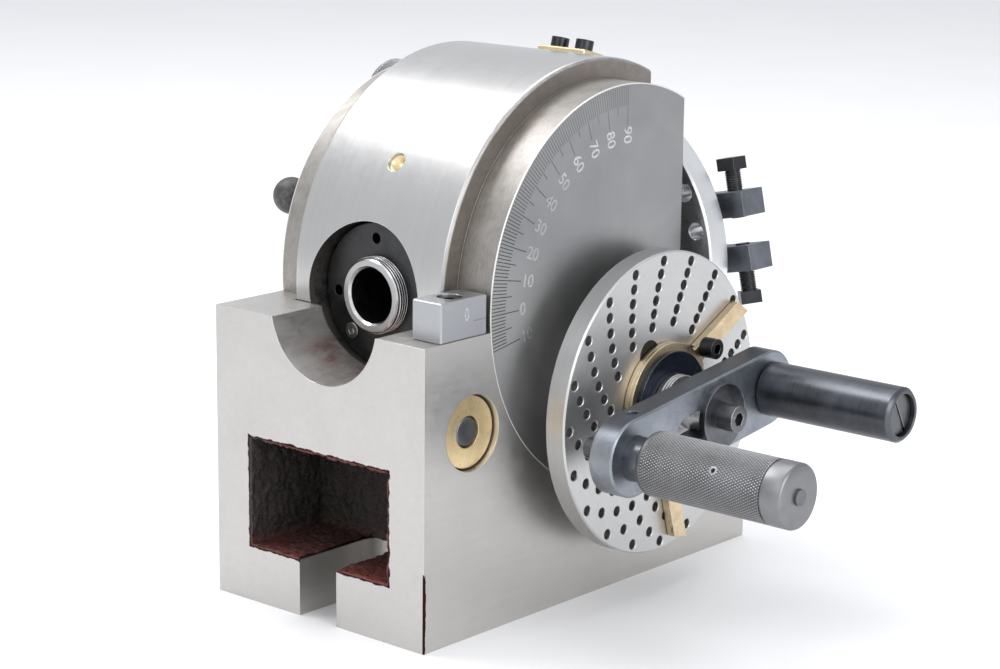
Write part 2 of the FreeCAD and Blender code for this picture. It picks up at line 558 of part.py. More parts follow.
def driver_fork():
    """A ring on the nose with two fingers; it lies along +Y here and is turned into place."""
    half = FORK_GAP / 2 + FORK_FINGER
    middle_x = (FORK_X0 + FORK_X1) / 2
    ring = rod(NOSE_R + 7, INDEX_X1, FORK_X1, "x", SPINDLE_Y, CENTRE_H)
    arm = block(FORK_X0, FORK_X1, SPINDLE_Y, SPINDLE_Y + FORK_OUT_R, CENTRE_H - half, CENTRE_H + half)
    body = ring.fuse(arm)
    gap = block(FORK_X0 - 1, FORK_X1 + 1, SPINDLE_Y + FORK_ROOT_R, SPINDLE_Y + FORK_OUT_R + 1,
                CENTRE_H - FORK_GAP / 2, CENTRE_H + FORK_GAP / 2)
    cuts = [gap, rod(NOSE_R + 0.01, 30, 70, "x", SPINDLE_Y, CENTRE_H)]
    cuts.append(rod(DOG_SCREW_R + RUNNING, 0, 200, "z", middle_x, SPINDLE_Y + DOG_SCREW_R_POS))
    body = around_spindle(body.cut(cuts).removeSplitter(), DRIVER_DEG)
    holes = []
    for degrees in FORK_SCREWS_DEG:
        mouth = on_spindle(FORK_SCREW_PCR, degrees, FORK_X1)
        holes += [screw_hole(4.3, 30, mouth, -X), screw_hole(7.0, 4.2, mouth, -X)]
    return body.cut(holes)


def driver_fork_screws():
    return [cap_screw(4, 17, on_spindle(FORK_SCREW_PCR, degrees, FORK_X1 - 4.2), -X)
            for degrees in FORK_SCREWS_DEG]


def dog_screw(side):
    """A square-head screw through one finger.

    It is drawn with the fork along +Y, where side is +1 for the finger above the gap.  Turning the
    fork into place brings that finger underneath, so +1 is the lower screw and -1 the upper one.
    """
    out = Z * side
    middle = V((FORK_X0 + FORK_X1) / 2, SPINDLE_Y + DOG_SCREW_R_POS, CENTRE_H)
    tip = middle + out * (FORK_GAP / 2 - 0.5)
    under_head = middle + out * (FORK_GAP / 2 + FORK_FINGER + DOG_SCREW_SHOWN)
    shank = Part.makeCylinder(DOG_SCREW_R, tip.distanceToPoint(under_head), tip, out)
    half = DOG_HEAD_W / 2
    square = [under_head + X * (half * a) + Y * (half * b) for a, b in ((1, 1), (-1, 1), (-1, -1), (1, -1))]
    head = prism(square, out, DOG_HEAD_H)
    head.rotate(middle, Z, 45 if side > 0 else 0)
    return around_spindle(shank.fuse(head), DRIVER_DEG)


def make_spindle():
    keep("spindle", spindle())
    keep("worm_wheel", worm_wheel())
    keep("wheel_key", block(-6, 6, SPINDLE_Y - 2.5, SPINDLE_Y + 2.5,
                            CENTRE_H + WHEEL_SEAT_R - 2.5, CENTRE_H + WHEEL_SEAT_R + 2.5))
    keep("spindle_nut", tube(NUT_R, TAIL_THREAD_R, CAP_BACK_X + 0.5, CAP_BACK_X + 8.5,
                             "x", SPINDLE_Y, CENTRE_H))
    keep("index_plate", index_plate())
    seats = [on_spindle(INDEX_SCREW_PCR, 90 * k + 45, INDEX_X1 - 0.1) for k in range(4)]
    keep("index_plate_screws", *[countersunk_screw(3.9, 14, seat, -X) for seat in seats])
    keep("driver_fork", driver_fork())
    keep("driver_fork_screws", *driver_fork_screws())
    keep("dog_screw_lower", dog_screw(+1))
    keep("dog_screw_upper", dog_screw(-1))


# ---------------------------------------------------------------- worm shaft and crank
WORM_END_R = 5.0             # journal in the end bush
WORM_CORE_R = 4.2
WORM_COLLAR_R, COLLAR_FRONT_Y = 8.0, -13.0
SHAFT_STEP_Y, SHAFT_NOSE_R = -70.0, 6.5
TONGUE_W = 9.9               # across the two flats of the shaft's nose
SLOT_IN, SLOT_OUT = -21.2, 13.5      # ends of the arm's slot along the crank line
WASHER_R = 10.5
CRANK_SCREW = 5
MID_ARM_Y = (ARM_FRONT_Y + ARM_BACK_Y) / 2
SET_SCREW_IN = 5.0           # the sleeve's set screw, in from the sleeve's axis along the arm


def worm_thread():
    """The single-start thread: a straight-sided rib swept along a helix, on the top at the wheel."""
    rib_half = 0.8           # half thickness at the pitch line, thin enough to run free in the wheel
    r_in, r_out = 4.0, WORM_PITCH_R + MODULE
    turns = 5
    start_y = SPINDLE_Y - (turns // 2 + 0.75) * WORM_LEAD

    def half_at(radius):
        return rib_half - (radius - WORM_PITCH_R) * PRESSURE_TAN

    outline = [V(r_in, 0, -half_at(r_in)), V(r_out, 0, -half_at(r_out)),
               V(r_out, 0, half_at(r_out)), V(r_in, 0, half_at(r_in))]
    profile = Part.makePolygon(outline + [outline[0]])
    helix = Part.makeHelix(WORM_LEAD, turns * WORM_LEAD, WORM_PITCH_R)
    rib = Part.Wire(helix).makePipeShell([profile], True, True)
    rib.rotate(V(0, 0, 0), X, -90)
    rib.translate(V(0, start_y, WORM_Z))
    return rib


def worm_shaft():
    """Shaft with the worm cut on it; its outer end has two flats that fit the crank arm's slot."""
    collar_y0, collar_y1 = SLEEVE_IN_Y + 0.2, COLLAR_FRONT_Y
    points = [(END_BUSH_Y1 - 1, 0), (END_BUSH_Y1 - 1, WORM_END_R), (END_BUSH_Y0 - 2, WORM_END_R),
              (END_BUSH_Y0 - 2, WORM_CORE_R), (collar_y1, WORM_CORE_R), (collar_y1, WORM_COLLAR_R),
              (collar_y0, WORM_COLLAR_R), (collar_y0, WORM_JOURNAL_R),
              (SHAFT_STEP_Y, WORM_JOURNAL_R), (SHAFT_STEP_Y, SHAFT_NOSE_R),
              (ARM_FRONT_Y + 0.1, SHAFT_NOSE_R), (ARM_FRONT_Y + 0.1, 0)]
    body = turned(points, "y", 0, WORM_Z)
    flat = block(-10, 10, ARM_FRONT_Y - 1, ARM_BACK_Y, WORM_Z + TONGUE_W / 2, WORM_Z + 20)
    body = body.cut([around_worm(flat, CRANK_DEG), around_worm(flat, CRANK_DEG + 180)])
    body = body.cut(screw_hole(CRANK_SCREW, 16, V(0, ARM_FRONT_Y + 0.1, WORM_Z), Y))
    return body.fuse(worm_thread())


def crank_arm():
    """A flat bar with round ends, along +X here and turned to the crank's direction."""
    bar = block(-PIN_R_POS, HANDLE_R_POS, ARM_FRONT_Y, ARM_BACK_Y, WORM_Z - ARM_HALF_W, WORM_Z + ARM_HALF_W)
    ends = [rod(ARM_HALF_W, ARM_FRONT_Y, ARM_BACK_Y, "y", x, WORM_Z) for x in (-PIN_R_POS, HANDLE_R_POS)]
    body = join([bar] + ends)
    rims = [e for e in body.Edges if abs(e.tangentAt(e.FirstParameter).y) < 0.1]
    body = body.makeChamfer(0.5, rims)
    half = TONGUE_W / 2 + 0.05
    slot = block(SLOT_IN + half, SLOT_OUT - half, -100, -70, WORM_Z - half, WORM_Z + half)
    slot = join([slot] + [rod(half, -100, -70, "y", x, WORM_Z) for x in (SLOT_IN + half, SLOT_OUT - half)])
    cuts = [slot, rod(7.0, -100, -70, "y", -PIN_R_POS, WORM_Z)]
    cuts.append(rod(3.0, -100, -70, "y", HANDLE_R_POS, WORM_Z))
    mouth = V(-PIN_R_POS + SET_SCREW_IN, MID_ARM_Y, WORM_Z + ARM_HALF_W + 1)
    cuts.append(screw_hole(3.6, ARM_HALF_W + 1, mouth, -Z))
    return around_worm(body.cut(cuts), CRANK_DEG)


SLEEVE_OUT_Y = -90.0         # outer end of the plunger's sleeve
SLEEVE_TIP_Y = -66.0
PIN_TIP_Y = -64.9            # tip of the parked index pin
PIN_TRAVEL_IN = 6.4          # from parked to home in a plate hole
PIN_TRAVEL_OUT = 2.0
KNOB_Y0, KNOB_END_Y = -90.6, -143.5
KNOB_R = 10.0
KNOB_GROOVE_Y = -136.0
KNOB_REACH = PIN_TRAVEL_IN + 0.6       # how far the knob's bores pass the sleeve's steps at rest
CROSS_PIN_Y = -118.8
NECK_R = 6.99                # the sleeve where it passes through the arm
BARREL_R, BARREL_END_Y = 5.2, -104.0   # the sleeve inside the knob
BARREL_FLOOR_Y = -76.5       # bottom of the sleeve's inner bore
PLUG_Y = -101.0              # inner end of the ring that closes the sleeve and holds the spring
PIN_R, PIN_COLLAR_R = 1.5, 3.3
STEM_R, STEM_OUT_R = 1.75, 2.5         # the pin beyond its collar, and where it is fixed in the knob
COLLAR_Y, COLLAR_END_Y = -83.4, -85.9
SPRING_ROOM_R = PIN_COLLAR_R + GAP

HANDLE_R, HANDLE_END_Y = 8.8, -134.0
STUD_R, STUD_HEAD_R = 4.0, 6.5
STUD_HEAD_Y = -130.8         # underside of the stud's slotted head
STUD_SLOT_DEG = 60


def plunger_axis():
    return on_plate(PIN_R_POS, 180 + CRANK_DEG, 0)


def plunger_sleeve():
    """The sleeve that the index pin slides in, pressed into the end of the crank arm."""
    shoulder_y = ARM_BACK_Y + 1.0
    points = [(SLEEVE_TIP_Y, 0), (SLEEVE_TIP_Y, 3.4), (shoulder_y, 3.4), (shoulder_y, NECK_R),
              (SLEEVE_OUT_Y, NECK_R), (SLEEVE_OUT_Y, BARREL_R), (BARREL_END_Y, BARREL_R), (BARREL_END_Y, 0)]
    a = plunger_axis()
    body = turned(points, "y", a.x, a.z)
    pin_way = rod(PIN_R + RUNNING, -110, -60, "y", a.x, a.z)
    return body.cut([pin_way, rod(SPRING_ROOM_R, -110, BARREL_FLOOR_Y, "y", a.x, a.z)])


def plunger_plug():
    """The ring screwed into the sleeve's outer end; the spring pushes against it."""
    a = plunger_axis()
    return tube(SPRING_ROOM_R, STEM_R + RUNNING, BARREL_END_Y, PLUG_Y, "y", a.x, a.z)


def index_pin():
    a = plunger_axis()
    step_y, rivet_y = BARREL_END_Y - KNOB_REACH, KNOB_END_Y - 0.8
    points = [(PIN_TIP_Y, 0), (PIN_TIP_Y, 1.0), (PIN_TIP_Y - 1.2, PIN_R), (COLLAR_Y, PIN_R),
              (COLLAR_Y, PIN_COLLAR_R), (COLLAR_END_Y, PIN_COLLAR_R), (COLLAR_END_Y, STEM_R),
              (step_y, STEM_R), (step_y, STEM_OUT_R), (rivet_y, STEM_OUT_R), (rivet_y, 0)]
    return turned(points, "y", a.x, a.z).cut(rod(1.0, a.z - 5, a.z + 5, "z", a.x, CROSS_PIN_Y))


def plunger_knob():
    """The knurled knob: hollow over the sleeve, solid at the outer end, riveted to the pin."""
    a = plunger_axis()
    groove_end_y, groove_r = KNOB_GROOVE_Y - 0.8, KNOB_R - 0.4
    points = [(KNOB_Y0, 0), (KNOB_Y0, KNOB_R - 0.5), (KNOB_Y0 - 0.5, KNOB_R),
              (KNOB_GROOVE_Y, KNOB_R), (KNOB_GROOVE_Y, groove_r), (groove_end_y, groove_r),
              (groove_end_y, KNOB_R), (KNOB_END_Y + 0.8, KNOB_R), (KNOB_END_Y, KNOB_R - 0.8),
              (KNOB_END_Y, 0)]
    body = turned(points, "y", a.x, a.z)
    cuts = [rod(NECK_R + GAP, SLEEVE_OUT_Y - KNOB_REACH, -80, "y", a.x, a.z),
            rod(BARREL_R + GAP, BARREL_END_Y - KNOB_REACH, -80, "y", a.x, a.z),
            rod(STEM_OUT_R, -150, -80, "y", a.x, a.z)]
    cuts.append(rod(1.0, WORM_Z - 30, WORM_Z + 30, "z", a.x, CROSS_PIN_Y))
    return body.cut(cuts)


def cross_pin():
    a = plunger_axis()
    return rod(1.0, a.z - KNOB_R + 0.6, a.z + KNOB_R - 0.6, "z", a.x, CROSS_PIN_Y)


def plunger_spring():
    """The spring between the pin's collar and the plug, as a plain tube, with the knob pulled right out."""
    a = plunger_axis()
    return tube(3.2, 2.0, PLUG_Y + 0.1, COLLAR_END_Y - PIN_TRAVEL_OUT - 0.1, "y", a.x, a.z)


def crank_handle():
    a = on_plate(HANDLE_R_POS, CRANK_DEG, 0)
    start_y = ARM_FRONT_Y - 0.1
    points = [(start_y, 0), (start_y, HANDLE_R - 0.6), (start_y - 0.8, HANDLE_R),
              (HANDLE_END_Y + 1, HANDLE_R), (HANDLE_END_Y, HANDLE_R - 1), (HANDLE_END_Y, 0)]
    body = turned(points, "y", a.x, a.z)
    return body.cut([rod(STUD_R + RUNNING, -140, -80, "y", a.x, a.z),
                     rod(STUD_HEAD_R + GAP, -140, STUD_HEAD_Y + GAP, "y", a.x, a.z)])


def handle_stud():
    """A long slotted screw: the plain handle turns on it."""
    a = on_plate(HANDLE_R_POS, CRANK_DEG, 0)
    thread_r, head_end_y = 2.95, STUD_HEAD_Y - 1.6
    points = [(ARM_BACK_Y - 0.5, 0), (ARM_BACK_Y - 0.5, thread_r), (ARM_FRONT_Y, thread_r),
              (ARM_FRONT_Y, STUD_R), (STUD_HEAD_Y, STUD_R), (STUD_HEAD_Y, STUD_HEAD_R),
              (head_end_y, STUD_HEAD_R), (head_end_y, 0)]
    slot = block(a.x - 8, a.x + 8, head_end_y - 1, head_end_y + 0.8, a.z - 0.6, a.z + 0.6)
    slot.rotate(a, Y, STUD_SLOT_DEG)
    return turned(points, "y", a.x, a.z).cut(slot)


def make_crank():
    keep("worm_shaft", worm_shaft())
    keep("crank_arm", crank_arm())
    washer_y = ARM_FRONT_Y - 2.2
    washer_hole_r = CRANK_SCREW / 2 + RUNNING
    keep("crank_washer", tube(WASHER_R, washer_hole_r, washer_y, ARM_FRONT_Y - 0.02, "y", 0, WORM_Z))
    keep("crank_cap_screw", cap_screw(CRANK_SCREW, 16, V(0, washer_y, WORM_Z), Y, 5.6))
    keep("plunger_sleeve", plunger_sleeve())
    mouth = V(-PIN_R_POS + SET_SCREW_IN, MID_ARM_Y, WORM_Z + ARM_HALF_W - 0.8)
    set_screw = grub_screw(3.6, 4, mouth, -Z)
    keep("sleeve_set_screw", around_worm(set_screw, CRANK_DEG))
    keep("plunger_plug", plunger_plug())
    keep("index_pin", index_pin())
    keep("plunger_knob", plunger_knob())
    keep("plunger_cross_pin", cross_pin())
    keep("plunger_spring", plunger_spring())
    keep("crank_handle", crank_handle())
    keep("handle_stud", handle_stud())


# ---------------------------------------------------------------- sector arms
SECTOR_LAYER_Y = -61.7       # underside of the sector arms, just clear of the plate
SECTOR_ARM_Y = -64.5         # outer face of the arms
SECTOR_RING_R = 20.0
SECTOR_HOLE_R = SLEEVE_NOSE_R + RUNNING
UPPER_EDGE_DEG, LOWER_EDGE_DEG = 27.5, -74.0   # working edges of the two arms
SECTOR_ARM_W = 8.0


def sector_arm(edge_deg, side, ring_y0, ring_y1):
    """A brass ring with one arm: its working edge is radial and bevelled, side says where its body lies."""
    ring = tube(SECTOR_RING_R, SECTOR_HOLE_R, ring_y0, ring_y1, "y", 0, WORM_Z)
    inner, tip = SECTOR_RING_R + 0.5, PLATE_R - 0.4
    outline = [V(inner, 0, 0), V(tip, 0, 0), V(tip - 4.0, 0, SECTOR_ARM_W), V(inner, 0, SECTOR_ARM_W)]
    outline = [V(p.x, SECTOR_LAYER_Y, WORM_Z + side * p.z) for p in outline]
    arm = prism(outline, -Y, abs(SECTOR_ARM_Y - SECTOR_LAYER_Y))
    bevel = [V(0, SECTOR_ARM_Y, WORM_Z), V(0, SECTOR_ARM_Y, WORM_Z + side * 2.2),
             V(0, SECTOR_ARM_Y + 2.2, WORM_Z)]
    arm = arm.cut(prism(bevel, X, 60))
    root = block(SECTOR_RING_R - 4, inner + 0.1, ring_y0, ring_y1, 0, SECTOR_ARM_W)
    root.translate(V(0, 0, WORM_Z if side > 0 else WORM_Z - SECTOR_ARM_W))
    return around_worm(join([ring, root, arm]), edge_deg)


SCREW_ON_ARM_DEG = 41.0
SCREW_ON_ARM_R = 24.0


def make_sector():
    low_y, mid_y, high_y = SECTOR_LAYER_Y, SECTOR_LAYER_Y - 1.4, SECTOR_ARM_Y
    keep("sector_arm_lower", sector_arm(LOWER_EDGE_DEG, -1, mid_y + 0.05, low_y))
    upper = sector_arm(UPPER_EDGE_DEG, +1, high_y, mid_y - 0.05)
    seat = on_plate(SCREW_ON_ARM_R, SCREW_ON_ARM_DEG, SECTOR_ARM_Y)
    upper = upper.cut(screw_hole(3.9, 2.2, seat, Y))
    keep("sector_arm_upper", upper)
    keep("sector_lock_screw", cap_screw(3.9, 2.2, seat, Y, 5.0))
    bore_r, rim_r = SLEEVE_NOSE_R + 0.4, 17.5
    dish = [(SECTOR_ARM_Y - 0.15, rim_r - 1.5), (SECTOR_ARM_Y - 0.15, rim_r), (SECTOR_ARM_Y - 1.5, rim_r),
            (SECTOR_ARM_Y - 0.9, bore_r), (SECTOR_ARM_Y - 0.3, bore_r)]
    keep("sector_spring_washer", turned(dish, "y", 0, WORM_Z))


# ---------------------------------------------------------------- direct index pin and spindle lock
PEG_TIP_X = 34.0
PEG_KNOB_R = 13.5
CAM_THROW = 5.0
CAM_START_DEG = -40.0


def cam_pin_place():
    t = math.radians(CAM_START_DEG)
    return PEG_SHAFT_X + CAM_THROW * math.sin(t), PEG_Z + CAM_THROW * math.cos(t)


def direct_index_pin():
    """The pin that drops into the index plate's back; an upright slot near its tail takes the cam pin."""
    body = turned([(PEG_BACK_X, 0), (PEG_BACK_X, PEG_R), (28.5, PEG_R), (28.5, PEG_TIP_R),
                   (PEG_TIP_X - 1, PEG_TIP_R), (PEG_TIP_X, PEG_TIP_R - 0.8), (PEG_TIP_X, 0)],
                  "x", SPINDLE_Y, PEG_Z)
    x, _ = cam_pin_place()
    flat = block(PEG_BACK_X - 1, PEG_SHAFT_X + PEG_SHAFT_R + 1, SPINDLE_Y + 0.5, SPINDLE_Y + 10,
                 PEG_Z - 10, PEG_Z + 10)
    slot = block(x - 1.75, x + 1.75, SPINDLE_Y - 2.0, SPINDLE_Y + 10, PEG_Z - 10, PEG_Z + 10)
    return body.cut([flat, slot])


def direct_index_shaft():
    """A cross shaft to the far side with an offset pin on its inner end."""
    x, z = cam_pin_place()
    shaft = rod(PEG_SHAFT_R, SPINDLE_Y + 1.0, BASE_HALF_W + 9.0, "y", PEG_SHAFT_X, PEG_Z)
    return join([shaft, rod(1.4, SPINDLE_Y - 1.2, SPINDLE_Y + 2, "y", x, z)])


def direct_index_knob():
    inner, outer, r = BASE_HALF_W + 1.0, BASE_HALF_W + 13.0, PEG_KNOB_R
    points = [(inner, 0), (inner, r - 1), (inner + 1, r), (outer - 1.5, r), (outer, r - 1.5), (outer, 0)]
    body = turned(points, "y", PEG_SHAFT_X, PEG_Z)
    return body.cut(rod(PEG_SHAFT_R, 40, BASE_HALF_W + 9.0, "y", PEG_SHAFT_X, PEG_Z))


LEVER_Y = 52.0
LEVER_END = (-47.0, 121.0)


def spindle_lock_screw():
    """A screw whose end bears on a brass pad against the spindle."""
    body = join([rod(5.0, SPINDLE_Y + REAR_JOURNAL_R + 3.6, LEVER_Y + 4, "y", LOCK_LEVER_X, LOCK_LEVER_Z),
                 rod(8.0, BASE_HALF_W + 0.8, LEVER_Y + 4, "y", LOCK_LEVER_X, LOCK_LEVER_Z)])
    return body.cut(lock_lever())


def lock_lever():
    start = V(LOCK_LEVER_X, LEVER_Y, LOCK_LEVER_Z)
    way = V(LEVER_END[0], LEVER_Y + 4, LEVER_END[1]) - start
    length = way.Length
    way.normalize()
    return Part.makeCylinder(2.5, length - 2.0, start + way * 4.0, way)


def lock_lever_ball():
    centre = V(LEVER_END[0], LEVER_Y + 4, LEVER_END[1])
    start = V(LOCK_LEVER_X, LEVER_Y, LOCK_LEVER_Z)
    way = centre - start
    way.normalize()
    return Part.makeSphere(6.2, centre + way * 3.0).cut(lock_lever())


def make_controls():
    keep("direct_index_pin", direct_index_pin())
    keep("direct_index_shaft", direct_index_shaft())
    keep("direct_index_knob", direct_index_knob())
    pad = rod(4.9, SPINDLE_Y + 8, SPINDLE_Y + REAR_JOURNAL_R + 3.5, "y", LOCK_LEVER_X, LOCK_LEVER_Z)
    keep("spindle_lock_pad", pad.cut(rod(REAR_JOURNAL_R + 0.1, -60, 0, "x", SPINDLE_Y, CENTRE_H)))
    keep("spindle_lock_screw", spindle_lock_screw())
    keep("spindle_lock_lever", lock_lever())
    keep("spindle_lock_ball", lock_lever_ball())


make_base()
make_head()
make_spindle()
make_crank()
make_sector()
make_controls()

os.makedirs("parts", exist_ok=True)
for name, shape in PARTS.items():
    shape.exportStep("parts/" + name + ".step")
    solids = len(shape.Solids)
    print(f"{name:26s} solids {solids}  volume {shape.Volume / 1000:9.3f} cm3  valid {shape.isValid()}")
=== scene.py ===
"""Looks of the tilting dividing head: finishes, rough casting, thread, knurls, dial marks and the studio.

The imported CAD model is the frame.  Lengths are written in millimetres and scaled to metres on the way in.
+X is the spindle nose, -Y is the crank side, +Z is up.
"""
import math

import bpy
import bmesh
import numpy as np
from mathutils import Matrix, Vector, noise


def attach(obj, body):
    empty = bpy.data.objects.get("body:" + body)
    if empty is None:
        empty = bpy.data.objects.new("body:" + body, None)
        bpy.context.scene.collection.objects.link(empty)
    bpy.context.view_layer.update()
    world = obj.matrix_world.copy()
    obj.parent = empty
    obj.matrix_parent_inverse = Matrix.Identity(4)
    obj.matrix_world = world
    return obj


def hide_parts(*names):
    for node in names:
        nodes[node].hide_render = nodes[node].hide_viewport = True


MM = 0.001

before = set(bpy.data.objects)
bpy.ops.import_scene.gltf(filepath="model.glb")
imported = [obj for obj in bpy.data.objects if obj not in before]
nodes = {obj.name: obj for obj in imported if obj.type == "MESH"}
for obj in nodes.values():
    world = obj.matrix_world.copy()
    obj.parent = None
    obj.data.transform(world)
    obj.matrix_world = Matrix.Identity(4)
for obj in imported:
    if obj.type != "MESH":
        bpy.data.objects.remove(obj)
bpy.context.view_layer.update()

# ---------------------------------------------------------------- dimensions taken over from the part
CENTRE_H = 100.0
WORM_Z = 64.0
SPINDLE_Y = 2.0
BASE_HALF_W = 45.0
BASE_REAR_X = -94.3
FOOT_TOP_Z = 18.3
SLOT_HALF_W = 8.1
SLOT_ROUND_X = -66.1             # centre of the rear slot's round end
POCKET_X = -61.0
POCKET_TOP_Z = 54.6
POCKET_HALF_W = 30.4
POCKET_CORNER_R = 1.0
NOTCH_Y, NOTCH_Z, NOTCH_R = -2.6, 99.3, 22.6      # the saddle notch's axis runs along X
TRUNNION_R = 65.0
DIAL_EDGE_R = TRUNNION_R - 0.4   # the dial's finish ends here, just inside the trunnion's edge
BAND_R = 72.0
BAND_MIDDLE_Y, BAND_HALF_W = 0.45, 31.55
RECESS_R = 23.6
CAP_BACK_X = -58.0
TAIL_X = -68.7
TAIL_THREAD_R = 11.9
THREAD_START_X = -68.2
SPINDLE_BORE_R = 8.75
CRANK_DEG = 7.5
PIN_R_POS = 42.33
HANDLE_R_POS = 28.0
LOCK_X, LOCK_Z = -72.7, 65.2     # tilt lock bolt and its two brass shoes
KNOB_Y0 = -90.6
KNOB_END_Y = -143.5
KNURL_START_Y, KNURL_END_Y = -93.0, -135.6
KNOB_R = 10.0
CROSS_PIN_Y = -118.8
PLATE_R = 49.2
PLATE_FRONT_Y, PLATE_BACK_Y = -61.5, -53.9
PLATE_HOLE_R = 1.6
PLATE_SCREW_PCR = 18.3
PLATE_SCREWS_DEG = (113, 233, 353)
SLEEVE_NOSE_R = 10.0
SLEEVE_THREAD_Y = -66.0
SPRING_START_Y = -100.4
RINGS = range(15, 21)
RING_0_R, RING_STEP = 26.25, 4.02
SHARED_HOLE_DEG = 54.9
FORK_MIDDLE_X = 56.0
FORK_GAP, FORK_FINGER = 9.6, 8.6
DOG_SCREW_R_POS, DOG_SCREW_R, DOG_SCREW_SHOWN = 53.3, 2.4, 7.0
DIRECT_KNOB_Z = 150.5
DIRECT_KNOB_R = 13.5
DRIVER_DEG = 168.0


# ---------------------------------------------------------------- node graphs
class Surface:
    """One procedural material.  Its patterns are placed in millimetres in the part's own frame."""

    def __init__(self, name, colour, metallic, roughness):
        self.material = bpy.data.materials.new(name)
        self.material.use_nodes = True
        self.nodes = self.material.node_tree.nodes
        self.links = self.material.node_tree.links
        self.shader = self.nodes["Principled BSDF"]
        self.shader.inputs["Metallic"].default_value = metallic
        self.shader.inputs["Roughness"].default_value = roughness
        self.shader.inputs["Base Color"].default_value = (*colour, 1.0)
        coordinates = self.add("ShaderNodeTexCoord").outputs["Object"]
        self.mm = self.vector("SCALE", coordinates, scale=1.0 / MM)

    def add(self, kind, **settings):
        node = self.nodes.new(kind)
        for key, value in settings.items():
            setattr(node, key, value)
        return node

    def plug(self, socket, value):
        """Link a socket, or set it when value is a number or a colour."""
        if isinstance(value, bpy.types.NodeSocket):
            self.links.new(value, socket)
        elif isinstance(value, (tuple, list)) and len(value) == 3 and len(socket.default_value) == 4:
            socket.default_value = (*value, 1.0)
        else:
            socket.default_value = value

    def vector(self, operation, a, b=None, scale=None):
        node = self.add("ShaderNodeVectorMath", operation=operation)
        self.plug(node.inputs[0], a)
        if b is not None:
            self.plug(node.inputs[1], b)
        if scale is not None:
            self.plug(node.inputs["Scale"], scale)
        return node.outputs["Value" if operation in ("DOT_PRODUCT", "LENGTH", "DISTANCE") else "Vector"]

    def math(self, operation, a, b=0.0, clamp=False):
        node = self.add("ShaderNodeMath", operation=operation, use_clamp=clamp)
        self.plug(node.inputs[0], a)
        self.plug(node.inputs[1], b)
        return node.outputs[0]

    def part(self, vector, axis):
        node = self.add("ShaderNodeSeparateXYZ")
        self.plug(node.inputs[0], vector)
        return node.outputs["XYZ".index(axis)]

    def join(self, x, y, z):
        node = self.add("ShaderNodeCombineXYZ")
        for socket, value in zip(node.inputs, (x, y, z)):
            self.plug(socket, value)
        return node.outputs[0]

    def noise(self, stretch=(1, 1, 1), scale=1.0, detail=3.0, rough=0.5, place=None, distortion=0.0):
        node = self.add("ShaderNodeTexNoise")
        where = self.vector("MULTIPLY", self.mm if place is None else place, tuple(stretch))
        self.plug(node.inputs["Vector"], where)
        self.plug(node.inputs["Scale"], scale)
        self.plug(node.inputs["Detail"], detail)
        self.plug(node.inputs["Roughness"], rough)
        self.plug(node.inputs["Distortion"], distortion)
        return node.outputs["Fac"]

    def remap(self, value, low, high, to_low=0.0, to_high=1.0):
        node = self.add("ShaderNodeMapRange", clamp=True)
        for socket, item in zip(node.inputs, (value, low, high, to_low, to_high)):
            self.plug(socket, item)
        return node.outputs["Result"]

    def mix(self, amount, a, b):
        node = self.add("ShaderNodeMix", data_type="RGBA")
        self.plug(node.inputs[0], amount)
        self.plug(node.inputs[6], a)
        self.plug(node.inputs[7], b)
        return node.outputs[2]

    def edges(self, radius, low=0.80, high=0.97):
        """1 on convex and concave edges, 0 on open faces."""
        bevel = self.add("ShaderNodeBevel", samples=6)
        self.plug(bevel.inputs["Radius"], radius * MM)
        flat = self.add("ShaderNodeNewGeometry").outputs["Normal"]
        return self.remap(self.vector("DOT_PRODUCT", bevel.outputs[0], flat), low, high, 1.0, 0.0)

    def turned_place(self, axis, centre):
        """Coordinates (radius, along the axis, part of the angle) about a lathe axis through centre."""
        local = self.vector("SUBTRACT", self.mm, centre)
        x, y, z = (self.part(local, letter) for letter in "XYZ")
        along, a, b = {"X": (x, y, z), "Y": (y, x, z), "Z": (z, x, y)}[axis]
        radius = self.vector("LENGTH", self.join(a, b, 0.0))
        turn = self.math("ARCTAN2", a, b)
        return self.join(radius, along, self.math("ABSOLUTE", turn))

    def bump(self, height, depth, softened=0.0):
        """Surface relief: height runs 0 to 1 over depth millimetres; softened rounds the CAD's edges."""
        node = self.add("ShaderNodeBump")
        self.plug(node.inputs["Height"], height)
        node.inputs["Distance"].default_value = depth * MM
        node.inputs["Strength"].default_value = 1.0
        if softened:
            bevel = self.add("ShaderNodeBevel", samples=6)
            bevel.inputs["Radius"].default_value = softened * MM
            self.links.new(bevel.outputs[0], node.inputs["Normal"])
        self.links.new(node.outputs[0], self.shader.inputs["Normal"])

    def colour(self, value):
        self.plug(self.shader.inputs["Base Color"], value)

    def roughness(self, value):
        self.plug(self.shader.inputs["Roughness"], value)

    def so_far(self):
        """What already feeds the colour and the roughness, to mix more on top of."""
        return [self.shader.inputs[name].links[0].from_socket for name in ("Base Color", "Roughness")]

    def xyz(self):
        return [self.part(self.mm, letter) for letter in "XYZ"]


def shade(colour, factor):
    return tuple(min(1.0, channel * factor) for channel in colour)


